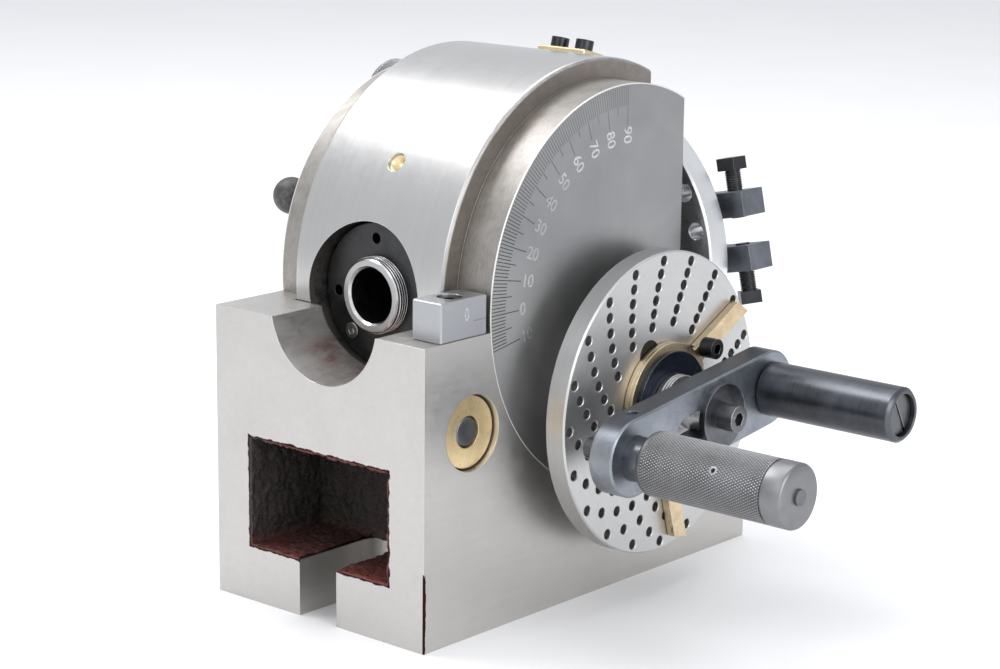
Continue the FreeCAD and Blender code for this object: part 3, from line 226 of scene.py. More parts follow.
def machined(name, colour, roughness, grain=(1, 1, 1), place=None, depth=0.006, mottle=0.10, edge=1.35,
             round_edge=0.35, streak_scale=1.0, spread=0.10, surface=None):
    """Bare machined metal: fine directional tool marks, faint handling marks and bright edges, partly wear
    and partly a painted highlight.

    grain stretches the marks: a small number lengthens them along that axis.
    """
    s = surface or Surface(name, colour, 1.0, roughness)
    fine = s.noise(grain, 2.4 * streak_scale, 3.0, 0.65, place)
    coarse = s.noise(grain, 0.5 * streak_scale, 2.0, 0.5, place)
    cloud = s.noise((1, 1, 1), 0.05, 3.0, 0.55, distortion=0.6)
    smudge = s.noise((1, 1, 1), 0.35, 4.0, 0.6)
    tone = s.math("ADD", s.math("MULTIPLY", fine, 0.5), s.math("MULTIPLY", coarse, 0.5))
    tone = s.math("ADD", tone, s.math("MULTIPLY", cloud, 0.6))
    dark, light = shade(colour, 1.0 - mottle), shade(colour, 1.0 + mottle)
    body = s.mix(s.remap(tone, 0.45, 1.15), dark, light)
    # edges painted brighter: partly wear, partly a painted highlight where an edge would catch the light
    rubbed_and_lit_edge = s.edges(round_edge)
    s.colour(s.mix(s.math("MULTIPLY", rubbed_and_lit_edge, 0.75), body, shade(colour, edge)))
    rough = s.remap(s.math("ADD", s.math("MULTIPLY", fine, 0.6), s.math("MULTIPLY", smudge, 0.5)),
                    0.3, 0.8, roughness - spread, roughness + spread)
    s.roughness(s.mix(rubbed_and_lit_edge, rough, (max(0.16, roughness - 0.12),) * 3))
    relief = s.math("ADD", s.math("MULTIPLY", fine, 0.7), s.math("MULTIPLY", coarse, 0.3))
    s.bump(relief, depth, round_edge)
    return s


def turned(name, colour, roughness, axis, centre, depth=0.006, mottle=0.10, edge=1.3, round_edge=0.3):
    """Lathe-turned metal: rings about an axis on faces and on the outside alike."""
    s = Surface(name, colour, 1.0, roughness)
    place = s.turned_place(axis, centre)
    machined(name, colour, roughness, (1, 1, 0.04), place, depth, mottle, edge, round_edge, spread=0.08,
             surface=s)
    return s


# ---------------------------------------------------------------- finishes
IRON = (0.56, 0.545, 0.525)
DRUM = (0.56, 0.555, 0.545)
BRASS = (0.76, 0.60, 0.38)
PRIMER = (0.16, 0.055, 0.035)      # rust-red primer


def base_iron():
    """Ground iron with primer left in the saddle notch, on one rear corner and round the pocket."""
    s = machined("ground_iron", IRON, 0.42, (0.08, 0.9, 1.6), mottle=0.07, depth=0.005, edge=1.25)
    x, y, z = s.xyz()
    ground, rough = s.so_far()

    # primer smeared in the saddle notch
    off_axis = s.join(0.0, s.math("SUBTRACT", y, NOTCH_Y), s.math("SUBTRACT", z, NOTCH_Z))
    in_notch = s.remap(s.vector("LENGTH", off_axis), NOTCH_R + 0.3, NOTCH_R)
    smear = s.remap(s.noise((0.5, 1.0, 1.0), 0.16, 4.0, 0.6), 0.36, 0.62, 0.0, 0.85)
    deep = s.remap(x, -93.0, -80.0)
    low = s.remap(z, 94.0, 82.0)
    stain = s.math("MULTIPLY", in_notch, smear)
    stain = s.math("MULTIPLY", stain, s.math("MULTIPLY", deep, low), clamp=True)
    colour = s.mix(stain, ground, PRIMER)
    colour_rough = s.mix(stain, rough, (0.62, 0.62, 0.62))

    # a ragged edge of primer down the corner and round the pocket's mouth
    ragged = s.noise((1, 1, 1), 0.30, 4.0, 0.6)
    reach = s.math("ADD", BASE_REAR_X + 0.1, s.math("MULTIPLY", ragged, 1.6))
    painted_top = s.math("ADD", 20.0, s.math("MULTIPLY", ragged, 10.0))
    corner = s.math("MULTIPLY", s.math("LESS_THAN", y, -BASE_HALF_W + 0.4), s.math("LESS_THAN", x, reach))
    corner = s.math("MULTIPLY", corner, s.math("LESS_THAN", z, painted_top))
    half_height = (POCKET_TOP_Z - FOOT_TOP_Z) / 2
    from_middle = s.math("ABSOLUTE", s.math("SUBTRACT", z, FOOT_TOP_Z + half_height))
    beside = s.math("SUBTRACT", s.math("ABSOLUTE", y), POCKET_HALF_W)
    above = s.math("SUBTRACT", from_middle, half_height)
    outside = s.math("ADD", s.math("MAXIMUM", beside, above), s.math("MULTIPLY", ragged, -2.2))
    rim = s.math("MULTIPLY", s.remap(outside, -0.55, -0.75), s.math("LESS_THAN", x, BASE_REAR_X + 0.2))
    painted = s.math("MAXIMUM", corner, rim)
    s.colour(s.mix(painted, colour, (0.045, 0.012, 0.010)))
    s.roughness(s.mix(painted, colour_rough, (0.7, 0.7, 0.7)))
    return s.material


def drum_iron():
    """The drum: bright turned band, brownish trunnions, darker ground dial faces painted lighter low down,
    a painted highlight at the dial's edge, painted shade in the step's corner and a recess painted near
    black as shade.
    """
    s = Surface("drum_iron", DRUM, 1.0, 0.34)
    place = s.turned_place("Y", (0.0, 0.0, CENTRE_H))
    machined("drum_iron", DRUM, 0.32, (1.0, 1.0, 0.05), place, 0.004, 0.06, 1.3, 0.4, surface=s,
             streak_scale=1.2, spread=0.06)
    ground, rough = s.so_far()
    x, y, z = s.xyz()
    radius = s.part(place, "X")
    off_middle = s.math("ABSOLUTE", s.math("SUBTRACT", y, BAND_MIDDLE_Y))
    outside_band = s.math("GREATER_THAN", off_middle, BAND_HALF_W - 0.3)

    # trunnions, brushed and brownish
    brushed = s.noise((0.5, 4.0, 0.6), 0.8, 5.0, 0.6)
    smears = s.noise((1, 1, 1), 0.12, 4.0, 0.6, distortion=0.5)
    brown = s.mix(s.remap(smears, 0.3, 0.7), (0.35, 0.325, 0.295), (0.21, 0.19, 0.165))
    trunnion = s.math("MULTIPLY", outside_band, s.math("GREATER_THAN", radius, DIAL_EDGE_R))
    amount = s.math("MULTIPLY", trunnion, s.remap(brushed, 0.25, 0.75, 0.55, 0.95))
    colour = s.mix(amount, ground, brown)

    # flat ground faces that carry the dial, painted lighter lower down as a painted reflection
    dial = s.math("MULTIPLY", outside_band, s.math("LESS_THAN", radius, DIAL_EDGE_R))
    clouds = s.noise((1, 1, 1), 0.035, 3.0, 0.55, distortion=0.5)
    fine = s.noise((1.0, 1.0, 0.5), 1.8, 3.0, 0.6)
    dial_grey = s.mix(s.remap(clouds, 0.3, 0.7), (0.255, 0.26, 0.268), (0.335, 0.335, 0.335))
    dial_grey = s.mix(s.math("MULTIPLY", fine, 0.35), dial_grey, (0.42, 0.42, 0.42))
    painted_reflection_low = s.math("MULTIPLY", s.remap(z, 125.0, 70.0), 0.55)
    dial_grey = s.mix(painted_reflection_low, dial_grey, (0.66, 0.66, 0.65))
    colour = s.mix(dial, colour, dial_grey)

    # painted highlight: a bright line where the dial face meets the trunnion, in place of light caught by
    # an edge chamfer
    rim = s.math("COMPARE", radius, TRUNNION_R)
    rim.node.inputs[2].default_value = 0.35
    at_end = s.math("GREATER_THAN", s.math("ABSOLUTE", y), BASE_HALF_W - 0.35)
    rim = s.math("MULTIPLY", rim, at_end)
    colour = s.mix(s.math("MULTIPLY", rim, 0.85), colour, (0.93, 0.92, 0.90))

    # the step between trunnion and band, with painted shade in its inner corner
    step_face = s.math("MULTIPLY", outside_band, s.remap(radius, TRUNNION_R + 0.1, TRUNNION_R + 0.5))
    step_face = s.math("MULTIPLY", step_face, s.remap(radius, BAND_R - 0.8, BAND_R - 1.3))
    step_brown = s.mix(brushed, (0.20, 0.18, 0.16), (0.33, 0.30, 0.27))
    colour = s.mix(step_face, colour, step_brown)
    corner = s.remap(s.math("ABSOLUTE", s.math("SUBTRACT", off_middle, BAND_HALF_W)), 0.9, 0.2)
    corner = s.math("MULTIPLY", corner, s.remap(radius, TRUNNION_R + 0.9, TRUNNION_R + 0.3))
    colour = s.mix(s.math("MULTIPLY", corner, 0.55), colour, (0.17, 0.155, 0.14))

    # the recess round the rear cap, painted near black as shade, with lighter grey patches low down towards
    # the left
    off_axis = s.join(0.0, s.math("SUBTRACT", y, SPINDLE_Y), s.math("SUBTRACT", z, CENTRE_H))
    in_recess = s.math("MULTIPLY", s.math("LESS_THAN", s.vector("LENGTH", off_axis), RECESS_R + 0.05),
                       s.math("LESS_THAN", x, CAP_BACK_X + 1.0))
    low_left = s.remap(s.math("SUBTRACT", y, z), -104.0, -78.0)
    lighter_patches_low_left = s.math("MULTIPLY", s.remap(smears, 0.35, 0.60), s.math("ADD", 0.45, low_left), clamp=True)
    recess_grey = s.mix(lighter_patches_low_left, (0.030, 0.028, 0.027), (0.20, 0.185, 0.165))
    s.colour(s.mix(s.math("MULTIPLY", in_recess, 0.92), colour, recess_grey))
    dull = s.math("MAXIMUM", s.math("MULTIPLY", trunnion, 0.8), in_recess)
    s.roughness(s.mix(s.math("MULTIPLY", dial, 0.9), s.mix(dull, rough, (0.52,) * 3), (0.42,) * 3))
    return s.material


def spindle_steel():
    """Turned steel; the rear bore and the roots of the tail's thread are painted near black as shade, and
    the tail's end face a darker grey as shade.
    """
    s = turned("spindle_steel", SPINDLE_GREY, 0.24, "X", spindle_centre, 0.004, 0.08, 1.25, 0.2)
    ground, rough = s.so_far()
    x = s.part(s.mm, "X")
    radius = s.part(s.turned_place("X", spindle_centre), "X")
    in_bore = s.math("MULTIPLY", s.math("LESS_THAN", radius, SPINDLE_BORE_R + 0.1),
                     s.math("LESS_THAN", x, 0.0))
    near_tail = s.math("MULTIPLY", s.math("GREATER_THAN", x, THREAD_START_X), s.math("LESS_THAN", x, -50.0))
    thread = s.math("MULTIPLY", s.math("GREATER_THAN", radius, TAIL_THREAD_R - 0.1), near_tail)
    root = s.math("MULTIPLY", thread, s.remap(radius, TAIL_THREAD_R + 0.32, TAIL_THREAD_R + 0.12))
    # the tail's end face painted a darker grey, as shade
    end_face = s.math("MULTIPLY", s.math("LESS_THAN", x, TAIL_X + 0.05), s.math("SUBTRACT", 1.0, in_bore))
    ground = s.mix(s.math("MULTIPLY", end_face, 0.8), ground, (0.33, 0.33, 0.33))
    # the bore and the thread's roots painted near black as shade, mottled like oil
    oil_and_shade_mottle = s.noise((1, 1, 1), 0.3, 4.0, 0.6)
    dark = s.mix(s.remap(oil_and_shade_mottle, 0.35, 0.65), (0.010, 0.010, 0.011), (0.035, 0.034, 0.034))
    amount = s.math("MAXIMUM", in_bore, s.math("MULTIPLY", root, 0.85))
    s.colour(s.mix(amount, ground, dark))
    s.roughness(s.mix(in_bore, rough, (0.55,) * 3))
    return s.material


def blacked(name, roughness, rub_and_highlight, colour, round_edge, grain=(1, 1, 1), bright=(0.30, 0.30, 0.31),
            axis=None, centre=None, dark_top=0.0):
    """Black-oxide steel with bright edges, partly rubbed back and partly a painted highlight, with fine
    scratches and oily patches.

    dark_top darkens the faces that look upwards.
    """
    s = Surface(name, colour, 1.0, roughness)
    place = s.turned_place(axis, centre) if axis else None
    stretch = (1, 1, 0.05) if axis else grain
    fine = s.noise(stretch, 2.0, 3.0, 0.6, place)
    cloud = s.noise((1, 1, 1), 0.12, 4.0, 0.6, distortion=0.5)
    specks = s.noise((1, 1, 1), 1.6, 4.0, 0.7)
    body = s.mix(s.remap(s.math("ADD", s.math("MULTIPLY", fine, 0.4), cloud), 0.4, 1.0),
                 shade(colour, 0.75), shade(colour, 1.5))
    if dark_top:
        facing_up = s.part(s.add("ShaderNodeNewGeometry").outputs["Normal"], "Z")
        body = s.mix(s.math("MULTIPLY", s.remap(facing_up, 0.6, 0.9), dark_top), body, shade(colour, 0.35))
    scratch = s.noise((0.15, 5.0, 2.0), 0.9, 2.0, 0.5, distortion=1.2)
    scratch = s.math("MULTIPLY", s.remap(scratch, 0.70, 0.76), 0.5)
    # edges painted bright: partly rubbed wear, partly a painted highlight
    rubbed_and_lit_edge = s.math("MULTIPLY", s.edges(round_edge, 0.78, 0.96), s.remap(specks, 0.30, 0.55, 0.35, 1.0))
    amount = s.math("MAXIMUM", s.math("MULTIPLY", rubbed_and_lit_edge, rub_and_highlight), s.math("MULTIPLY", scratch, rub_and_highlight))
    s.colour(s.mix(amount, body, bright))
    s.roughness(s.remap(s.math("ADD", s.math("MULTIPLY", fine, 0.4), s.math("MULTIPLY", cloud, 0.7)),
                        0.3, 0.8, roughness - 0.08, roughness + 0.10))
    s.bump(s.math("ADD", s.math("MULTIPLY", fine, 0.6), s.math("MULTIPLY", specks, 0.4)), 0.006, round_edge)
    return s.material


def brass(name, axis=None, centre=None, grain=(1, 1, 1), roughness=0.30, colour=BRASS, tarnish=0.35):
    """Brass with brown tarnish in patches, small dark spots and bright edges, partly rubbed and partly a
    painted highlight.
    """
    s = Surface(name, colour, 1.0, roughness)
    place = s.turned_place(axis, centre) if axis else None
    stretch = (1, 1, 0.05) if axis else grain
    fine = s.noise(stretch, 2.2, 3.0, 0.6, place)
    cloud = s.noise((1, 1, 1), 0.16, 5.0, 0.62, distortion=0.7)
    spots = s.noise((1, 1, 1), 0.9, 3.0, 0.6)
    dull = s.math("MULTIPLY", s.remap(cloud, 0.42, 0.66), tarnish)
    body = s.mix(fine, shade(colour, 0.90), shade(colour, 1.12))
    body = s.mix(dull, body, (0.36, 0.24, 0.115))
    body = s.mix(s.math("MULTIPLY", s.remap(spots, 0.66, 0.74), 0.5), body, (0.20, 0.13, 0.07))
    # edges painted bright: partly rubbed, partly a painted highlight
    rubbed_and_lit_edge = s.edges(0.3)
    s.colour(s.mix(s.math("MULTIPLY", rubbed_and_lit_edge, 0.7), body, (0.93, 0.80, 0.52)))
    s.roughness(s.remap(s.math("ADD", cloud, s.math("MULTIPLY", fine, 0.4)), 0.4, 1.0,
                        roughness - 0.07, roughness + 0.16))
    s.bump(fine, 0.006, 0.3)
    return s.material


def knurl_steel():
    """Grey phosphated steel: the tips of the knurl are rubbed brighter and its grooves are painted near
    black as shade.
    """
    colour = (0.165, 0.167, 0.172)
    s = Surface("knurl_steel", colour, 1.0, 0.42)
    cloud = s.noise((1, 1, 1), 0.10, 4.0, 0.6, distortion=0.4)
    specks = s.noise((1, 1, 1), 1.8, 3.0, 0.6)
    height = s.add("ShaderNodeAttribute", attribute_name="knurl").outputs["Fac"]
    tip = s.remap(height, 0.55, 0.95)
    groove = s.remap(height, 0.35, 0.0)
    body = s.mix(s.remap(cloud, 0.3, 0.7), shade(colour, 0.8), shade(colour, 1.25))
    # grooves painted near black, as shade
    body = s.mix(s.math("MULTIPLY", groove, 0.75), body, (0.035, 0.035, 0.037))
    smooth_end = s.remap(s.part(s.mm, "Y"), KNURL_END_Y, KNURL_END_Y - 0.2)
    end_grey = s.mix(s.remap(cloud, 0.3, 0.7), (0.205, 0.207, 0.212), (0.27, 0.272, 0.277))
    body = s.mix(smooth_end, body, end_grey)
    s.colour(s.mix(s.math("MULTIPLY", tip, s.remap(specks, 0.3, 0.6, 0.4, 0.9)), body, (0.50, 0.50, 0.505)))
    s.roughness(s.remap(cloud, 0.3, 0.7, 0.34, 0.50))
    s.bump(specks, 0.008)
    return s.material


def rough_casting():
    """As-cast iron in the pocket: black scale over dark red primer, reddest at the top, mouth and floor."""
    s = Surface("rough_casting", (0.03, 0.025, 0.022), 0.0, 0.55)
    x, y, z = s.xyz()
    lumps = s.noise((1, 1, 1), 0.75, 5.0, 0.70)
    grit = s.noise((1, 1, 1), 2.2, 4.0, 0.7)
    mouth = s.math("MULTIPLY", s.remap(x, -88.0, -93.0), s.remap(y, 26.0, 12.0))
    floor = s.math("MULTIPLY", s.remap(z, 23.0, 19.0), s.remap(x, -72.0, -90.0, 0.4, 1.0))
    right = s.remap(y, -8.0, -26.0)
    top = s.math("MULTIPLY", s.remap(z, 40.0, 51.0), s.remap(y, 27.0, 16.0))
    red = s.math("ADD", s.math("MULTIPLY", mouth, 0.7), s.math("MULTIPLY", floor, 0.7))
    red = s.math("ADD", red, s.math("ADD", s.math("MULTIPLY", right, 0.55), s.math("MULTIPLY", top, 0.95)))
    red = s.math("MULTIPLY", red, s.remap(lumps, 0.32, 0.58), clamp=True)
    black = s.mix(s.remap(grit, 0.35, 0.7), (0.008, 0.007, 0.007), (0.055, 0.042, 0.034))
    s.colour(s.mix(red, black, s.mix(grit, (0.085, 0.013, 0.010), (0.21, 0.045, 0.030))))
    s.roughness(s.remap(lumps, 0.38, 0.62, 0.14, 0.55))
    s.bump(s.math("ADD", s.math("MULTIPLY", lumps, 0.7), s.math("MULTIPLY", grit, 0.5)), 0.8)
    return s.material


def ball_plastic():
    """Scuffed black plastic."""
    s = Surface("ball_plastic", (0.05, 0.05, 0.05), 0.0, 0.42)
    scuff = s.noise((1, 1, 1), 0.5, 4.0, 0.6)
    s.colour(s.mix(s.remap(scuff, 0.45, 0.7), (0.045, 0.044, 0.043), (0.11, 0.105, 0.10)))
    s.roughness(s.remap(scuff, 0.3, 0.7, 0.36, 0.55))
    s.bump(scuff, 0.01)
    return s.material


def engraved():
    """The bottom of cut lines: dark, with brighter bits where the tool burnished it."""
    s = Surface("engraved_line", (0.05, 0.05, 0.05), 1.0, 0.5)
    bits = s.noise((1, 1, 1), 1.2, 3.0, 0.6)
    line = s.mix(s.remap(bits, 0.35, 0.75), (0.035, 0.035, 0.036), (0.16, 0.155, 0.15))
    # the lines turn paler grey towards the top of the dial
    paler_towards_top = s.remap(s.part(s.mm, "Z"), 122.0, 158.0, 0.0, 0.7)
    s.colour(s.mix(paler_towards_top, line, (0.30, 0.30, 0.30)))
    s.roughness(s.remap(bits, 0.3, 0.7, 0.4, 0.6))
    return s.material


def stamped():
    """Stamped figures: burnished, slightly brighter than the ground face round them."""
    s = Surface("stamped_figure", (0.80, 0.80, 0.81), 1.0, 0.35)
    bits = s.noise((1, 1, 1), 1.5, 3.0, 0.6)
    z = s.part(s.mm, "Z")
    faint = s.math("MULTIPLY", s.remap(z, 110.0, 118.0), s.remap(z, 143.0, 135.0))
    bright = s.mix(s.remap(bits, 0.35, 0.7), (0.50, 0.50, 0.52), (0.80, 0.80, 0.82))
    s.colour(s.mix(s.math("MULTIPLY", faint, 0.7), bright, (0.36, 0.36, 0.37)))
    s.roughness(s.remap(bits, 0.3, 0.7, 0.25, 0.45))
    return s.material


worm_centre = (0.0, 0.0, WORM_Z)
spindle_centre = (0.0, SPINDLE_Y, CENTRE_H)
handle_centre = (HANDLE_R_POS * math.cos(math.radians(CRANK_DEG)), 0.0,
                 WORM_Z + HANDLE_R_POS * math.sin(math.radians(CRANK_DEG)))
shoe_centre = (LOCK_X, 0.0, LOCK_Z)

SPINDLE_GREY = (0.72, 0.72, 0.715)
plate_steel = turned("plate_steel", (0.57, 0.57, 0.565), 0.38, "Y", worm_centre, 0.005, 0.07, 1.3, 0.25)
index_steel = turned("index_steel", (0.80, 0.805, 0.81), 0.30, "X", spindle_centre, 0.005, 0.08, 1.35)
bright_steel = turned("bright_steel", SPINDLE_GREY, 0.24, "X", spindle_centre, 0.004, 0.08, 1.25, 0.2)
worm_steel = turned("worm_steel", (0.68, 0.68, 0.68), 0.28, "Y", worm_centre, 0.004, 0.08, 1.25, 0.2)
sleeve_steel = turned("sleeve_steel", (0.55, 0.545, 0.535), 0.36, "Y", worm_centre, 0.005, 0.08)
block_steel = machined("block_steel", (0.43, 0.438, 0.452), 0.36, (0.25, 1.0, 1.0), depth=0.005,
                       mottle=0.06)
bronze = turned("bronze", (0.55, 0.36, 0.19), 0.35, "X", spindle_centre)
spring_steel = machined("spring_steel", (0.40, 0.40, 0.42), 0.30)

black_arm = blacked("black_arm", 0.38, 0.5, (0.250, 0.270, 0.300), 0.45, (0.1, 1.0, 1.6), dark_top=0.8)
black_handle = blacked("black_handle", 0.32, 0.55, (0.085, 0.090, 0.100), 0.4, axis="Y",
                       centre=handle_centre)
black_cap = blacked("black_cap", 0.42, 0.45, (0.058, 0.058, 0.059), 0.3, axis="X", centre=spindle_centre)
black_washer = blacked("black_washer", 0.30, 0.7, (0.12, 0.125, 0.135), 0.3, axis="Y", centre=worm_centre)
blue_washer = blacked("blue_washer", 0.22, 0.6, (0.040, 0.050, 0.075), 0.3, axis="Y", centre=worm_centre)
black_screw = blacked("black_screw", 0.34, 0.75, (0.040, 0.041, 0.043), 0.25)
black_fork = blacked("black_fork", 0.42, 0.5, (0.15, 0.162, 0.18), 0.4, (1.6, 0.15, 1.0))
# rear cap screws: bright steel, with rims painted near white as a painted highlight against the recess's
# shade
lit_rim_screw = blacked("lit_rim_screw", 0.32, 1.0, (0.30, 0.295, 0.285), 0.45, bright=(0.90, 0.88, 0.85))
grey_screw = blacked("grey_screw", 0.34, 0.9, (0.14, 0.143, 0.15), 0.4, bright=(0.62, 0.62, 0.63))
lever_steel = blacked("lever_steel", 0.36, 0.6, (0.06, 0.06, 0.062), 0.3)

brass_shoe = brass("brass_shoe", "Y", shoe_centre, roughness=0.32, tarnish=0.25, colour=(1.0, 0.74, 0.43))
brass_pale = brass("brass_pale", tarnish=0.1, colour=(0.92, 0.80, 0.56))
pin_steel = blacked("pin_steel", 0.40, 0.6, (0.15, 0.155, 0.17), 0.25)
brass_arm = brass("brass_arm", None, None, (1.4, 1.0, 0.15), 0.27, colour=(0.70, 0.57, 0.385), tarnish=0.4)
brass_plain = brass("brass_plain")

FINISH = {
    base_iron(): ["base_casting"],
    drum_iron(): ["head_casting"],
    block_steel.material: ["zero_index_block"],
    plate_steel.material: ["hole_plate"],
    index_steel.material: ["index_plate"],
    sleeve_steel.material: ["worm_sleeve"],
    bright_steel.material: ["spindle_nut", "wheel_key", "direct_index_pin", "direct_index_shaft",
                            "spindle_lock_screw", "front_bearing_housing"],
    worm_steel.material: ["worm_shaft", "plunger_cross_pin"],
    pin_steel: ["index_pin"],
    bronze.material: ["spindle_front_bush", "spindle_rear_bush", "worm_end_bush", "worm_wheel"],
    black_arm: ["crank_arm"],
    black_handle: ["crank_handle"],
    black_cap: ["rear_cap"],
    black_washer: ["crank_washer", "lock_bolt_washer", "plunger_sleeve", "plunger_plug"],
    blue_washer: ["sector_spring_washer"],
    lit_rim_screw: ["rear_cap_screws"],
    grey_screw: ["lock_bolt", "crank_cap_screw", "handle_stud"],
    black_screw: ["zero_block_screw", "front_housing_screws", "top_plate_screws",
                  "worm_sleeve_screws", "hole_plate_screws", "index_plate_screws", "driver_fork_screws",
                  "dog_screw_lower", "dog_screw_upper", "sleeve_set_screw", "sector_lock_screw"],
    black_fork: ["driver_fork"],
    lever_steel: ["spindle_lock_lever"],
    ball_plastic(): ["spindle_lock_ball"],
    brass_shoe: ["lock_shoe_crank_side", "lock_shoe_far_side"],
    brass_arm: ["sector_arm_lower", "sector_arm_upper"],
    brass_pale: ["ball_oiler"],
    brass_plain: ["top_brass_plate", "spindle_lock_pad"],
    spindle_steel(): ["spindle"],
    spring_steel.material: ["plunger_spring"],
}

for material, names in FINISH.items():
    for name in names:
        mesh = nodes[name].data
        mesh.materials.clear()
        mesh.materials.append(material)


# ---------------------------------------------------------------- mesh pieces
def new_piece(name, vertices, faces, material, body, smooth=True):
    """A mesh in millimetres that rides on a CAD body."""
    mesh = bpy.data.meshes.new(name)
    mesh.from_pydata([tuple(MM * c for c in v) for v in vertices], [], faces)
    mesh.validate()
    mesh.materials.append(material)
    mesh.polygons.foreach_set("use_smooth", [smooth] * len(mesh.polygons))
    obj = bpy.data.objects.new(name, mesh)
    bpy.context.scene.collection.objects.link(obj)
    bpy.context.view_layer.update()
    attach(obj, body)
    return obj


def sharpen(obj, degrees):
    obj.data.set_sharp_from_angle(angle=math.radians(degrees))


def ring_faces(rows, columns):
    """Quads between the rows of a grid whose columns wrap round."""
    faces = []
    for r in range(rows - 1):
        for c in range(columns):
            d = (c + 1) % columns
            faces.append((r * columns + c, r * columns + d, (r + 1) * columns + d, (r + 1) * columns + c))
    return faces


def triangle_wave(t):
    """0 at whole numbers, 1 half-way between them."""
    return 1.0 - np.abs(2.0 * (t - np.floor(t)) - 1.0)


def spread(start, end, step):
    """Evenly spaced values from start to end, no more than step apart."""
    count = max(1, int(math.ceil(abs(end - start) / step)))
    return list(np.linspace(start, end, count + 1))


KNURL = knurl_steel()
for name in ("plunger_knob", "direct_index_knob"):
    nodes[name].data.materials.clear()
    nodes[name].data.materials.append(KNURL)


def knurled(name, body, replaced, centre, stations, knurl_high, knurl_low, radius, around, dimple=None):
    """A turned knob along Y: plain stations (y, radius), and real diamond knurling between two places.

    around is the number of diamonds round the knob; a dimple is a small flat with a hole in it.
    """
    pitch, depth = 1.6, 0.33
    turn = np.arange(around * 6) / (around * 6)
    angle = 2 * math.pi * turn
    knurl_rows = [(y, radius, True) for y in spread(knurl_high, knurl_low, pitch / 8)]
    rows, placed = [], False
    for y, r in stations:
        if not placed and y < knurl_high and r >= radius - 0.2:
            rows += knurl_rows
            placed = True
        rows.append((y, r, False))
    points, heights = [], []
    for y, r, cut in rows:
        h = np.full(len(turn), 0.5)
        rr = np.full(len(turn), float(r))
        if cut:
            a = around * turn + (y - knurl_low) / pitch
            b = around * turn - (y - knurl_low) / pitch
            h = np.clip(np.minimum(triangle_wave(a), triangle_wave(b)) * 1.25, 0.0, 1.0)
            rr = r - depth * (1.0 - h)
            if dimple is not None:
                facing = np.cos(angle - dimple["turn"]) > 0
                across = radius * np.abs(np.sin(angle - dimple["turn"]))
                away = np.hypot(across, y - dimple["y"])
                flat = np.clip((dimple["r"] + 0.75 - away) / 0.3, 0, 1) * facing
                sunk = np.clip((dimple["r"] - away) / 0.25, 0, 1) * facing
                rr = rr * (1 - flat) + (r - 0.12) * flat - sunk * dimple["depth"]
                h = (h * (1 - flat) + flat) * (1 - sunk)
        points.append(np.column_stack([centre[0] + rr * np.cos(angle), np.full(len(turn), y),
                                       centre[1] + rr * np.sin(angle)]))
        heights.append(h)
    faces = [tuple(reversed(f)) for f in ring_faces(len(rows), len(turn))]
    knob = new_piece(name, np.vstack(points), faces, KNURL, body)
    attribute = knob.data.attributes.new("knurl", "FLOAT", "POINT")
    attribute.data.foreach_set("value", np.concatenate(heights).astype(np.float32))
    sharpen(knob, 50)
    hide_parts(replaced)


def build_plunger_knob():
    crank = math.radians(180 + CRANK_DEG)
    centre = (PIN_R_POS * math.cos(crank), WORM_Z + PIN_R_POS * math.sin(crank))
    neck, inner_end, end = 7.3, -97.0, KNOB_END_Y
    stations = [(inner_end, neck - 1.4), (inner_end, neck), (KNOB_Y0 - 0.2, neck), (KNOB_Y0, neck + 0.2),
                (KNOB_Y0, KNOB_R - 1.6), (KNOB_Y0 - 0.35, KNOB_R - 0.75), (KNOB_Y0 - 1.0, KNOB_R - 0.2),
                (KNOB_Y0 - 1.6, KNOB_R), (KNOB_Y0 - 2.3, KNOB_R),
                (KNURL_END_Y - 0.3, KNOB_R - 0.1), (KNURL_END_Y - 0.4, KNOB_R - 0.45),
                (KNURL_END_Y - 1.1, KNOB_R - 0.45), (KNURL_END_Y - 1.3, KNOB_R),
                (end + 1.0, KNOB_R), (end + 0.4, KNOB_R - 0.25), (end, KNOB_R - 0.9),
                (end, 6.0), (end, 3.0), (end, 2.5), (end + 1.0, 2.5)]
    dimple = dict(y=CROSS_PIN_Y, turn=math.radians(150), r=0.75, depth=0.9)
    knurled("knurled_knob", "plunger", "plunger_knob", centre, stations, KNURL_START_Y, KNURL_END_Y, KNOB_R,
            66, dimple)


def build_direct_knob():
    outer, inner, r = BASE_HALF_W + 13.0, BASE_HALF_W + 1.0, DIRECT_KNOB_R
    stations = [(outer - 0.3, 0.02), (outer - 0.3, 3.0), (outer, 3.4), (outer, r - 1.4),
                (outer - 0.4, r - 0.5), (outer - 1.3, r), (inner + 1.3, r), (inner + 0.3, r - 0.5),
                (inner, r - 1.2), (inner, 6.7)]
    knurled("knurled_direct_knob", "direct_knob", "direct_index_knob", (0.0, DIRECT_KNOB_Z), stations,
            outer - 2.0, inner + 2.0, r, 84)


def helix(name, body, material, start, along, length, radius, pitch, section, steps=48):
    """Sweep a closed section of (along, outward) points on a helix; the ends sink into the core."""
    along = Vector(along).normalized()
    side = along.orthogonal().normalized()
    other = along.cross(side)
    count = int(length / pitch * steps)
    vertices, faces = [], []
    for i in range(count + 1):
        angle = 2 * math.pi * i / steps
        outward = side * math.cos(angle) + other * math.sin(angle)
        grown = min(1.0, i / (steps / 4), (count - i) / (steps / 4))
        for shift, out in section:
            place = Vector(start) + along * (pitch * i / steps + shift) + outward * (radius + out * grown)
            vertices.append(place)
    n = len(section)
    for i in range(count):
        for k in range(n):
            j = (k + 1) % n
            faces.append((i * n + k, i * n + j, (i + 1) * n + j, (i + 1) * n + k))
    faces.append(tuple(range(n - 1, -1, -1)))
    faces.append(tuple(count * n + k for k in range(n)))
    piece = new_piece(name, vertices, faces, material, body)
    make_consistent(piece)
    sharpen(piece, 30)
    return piece


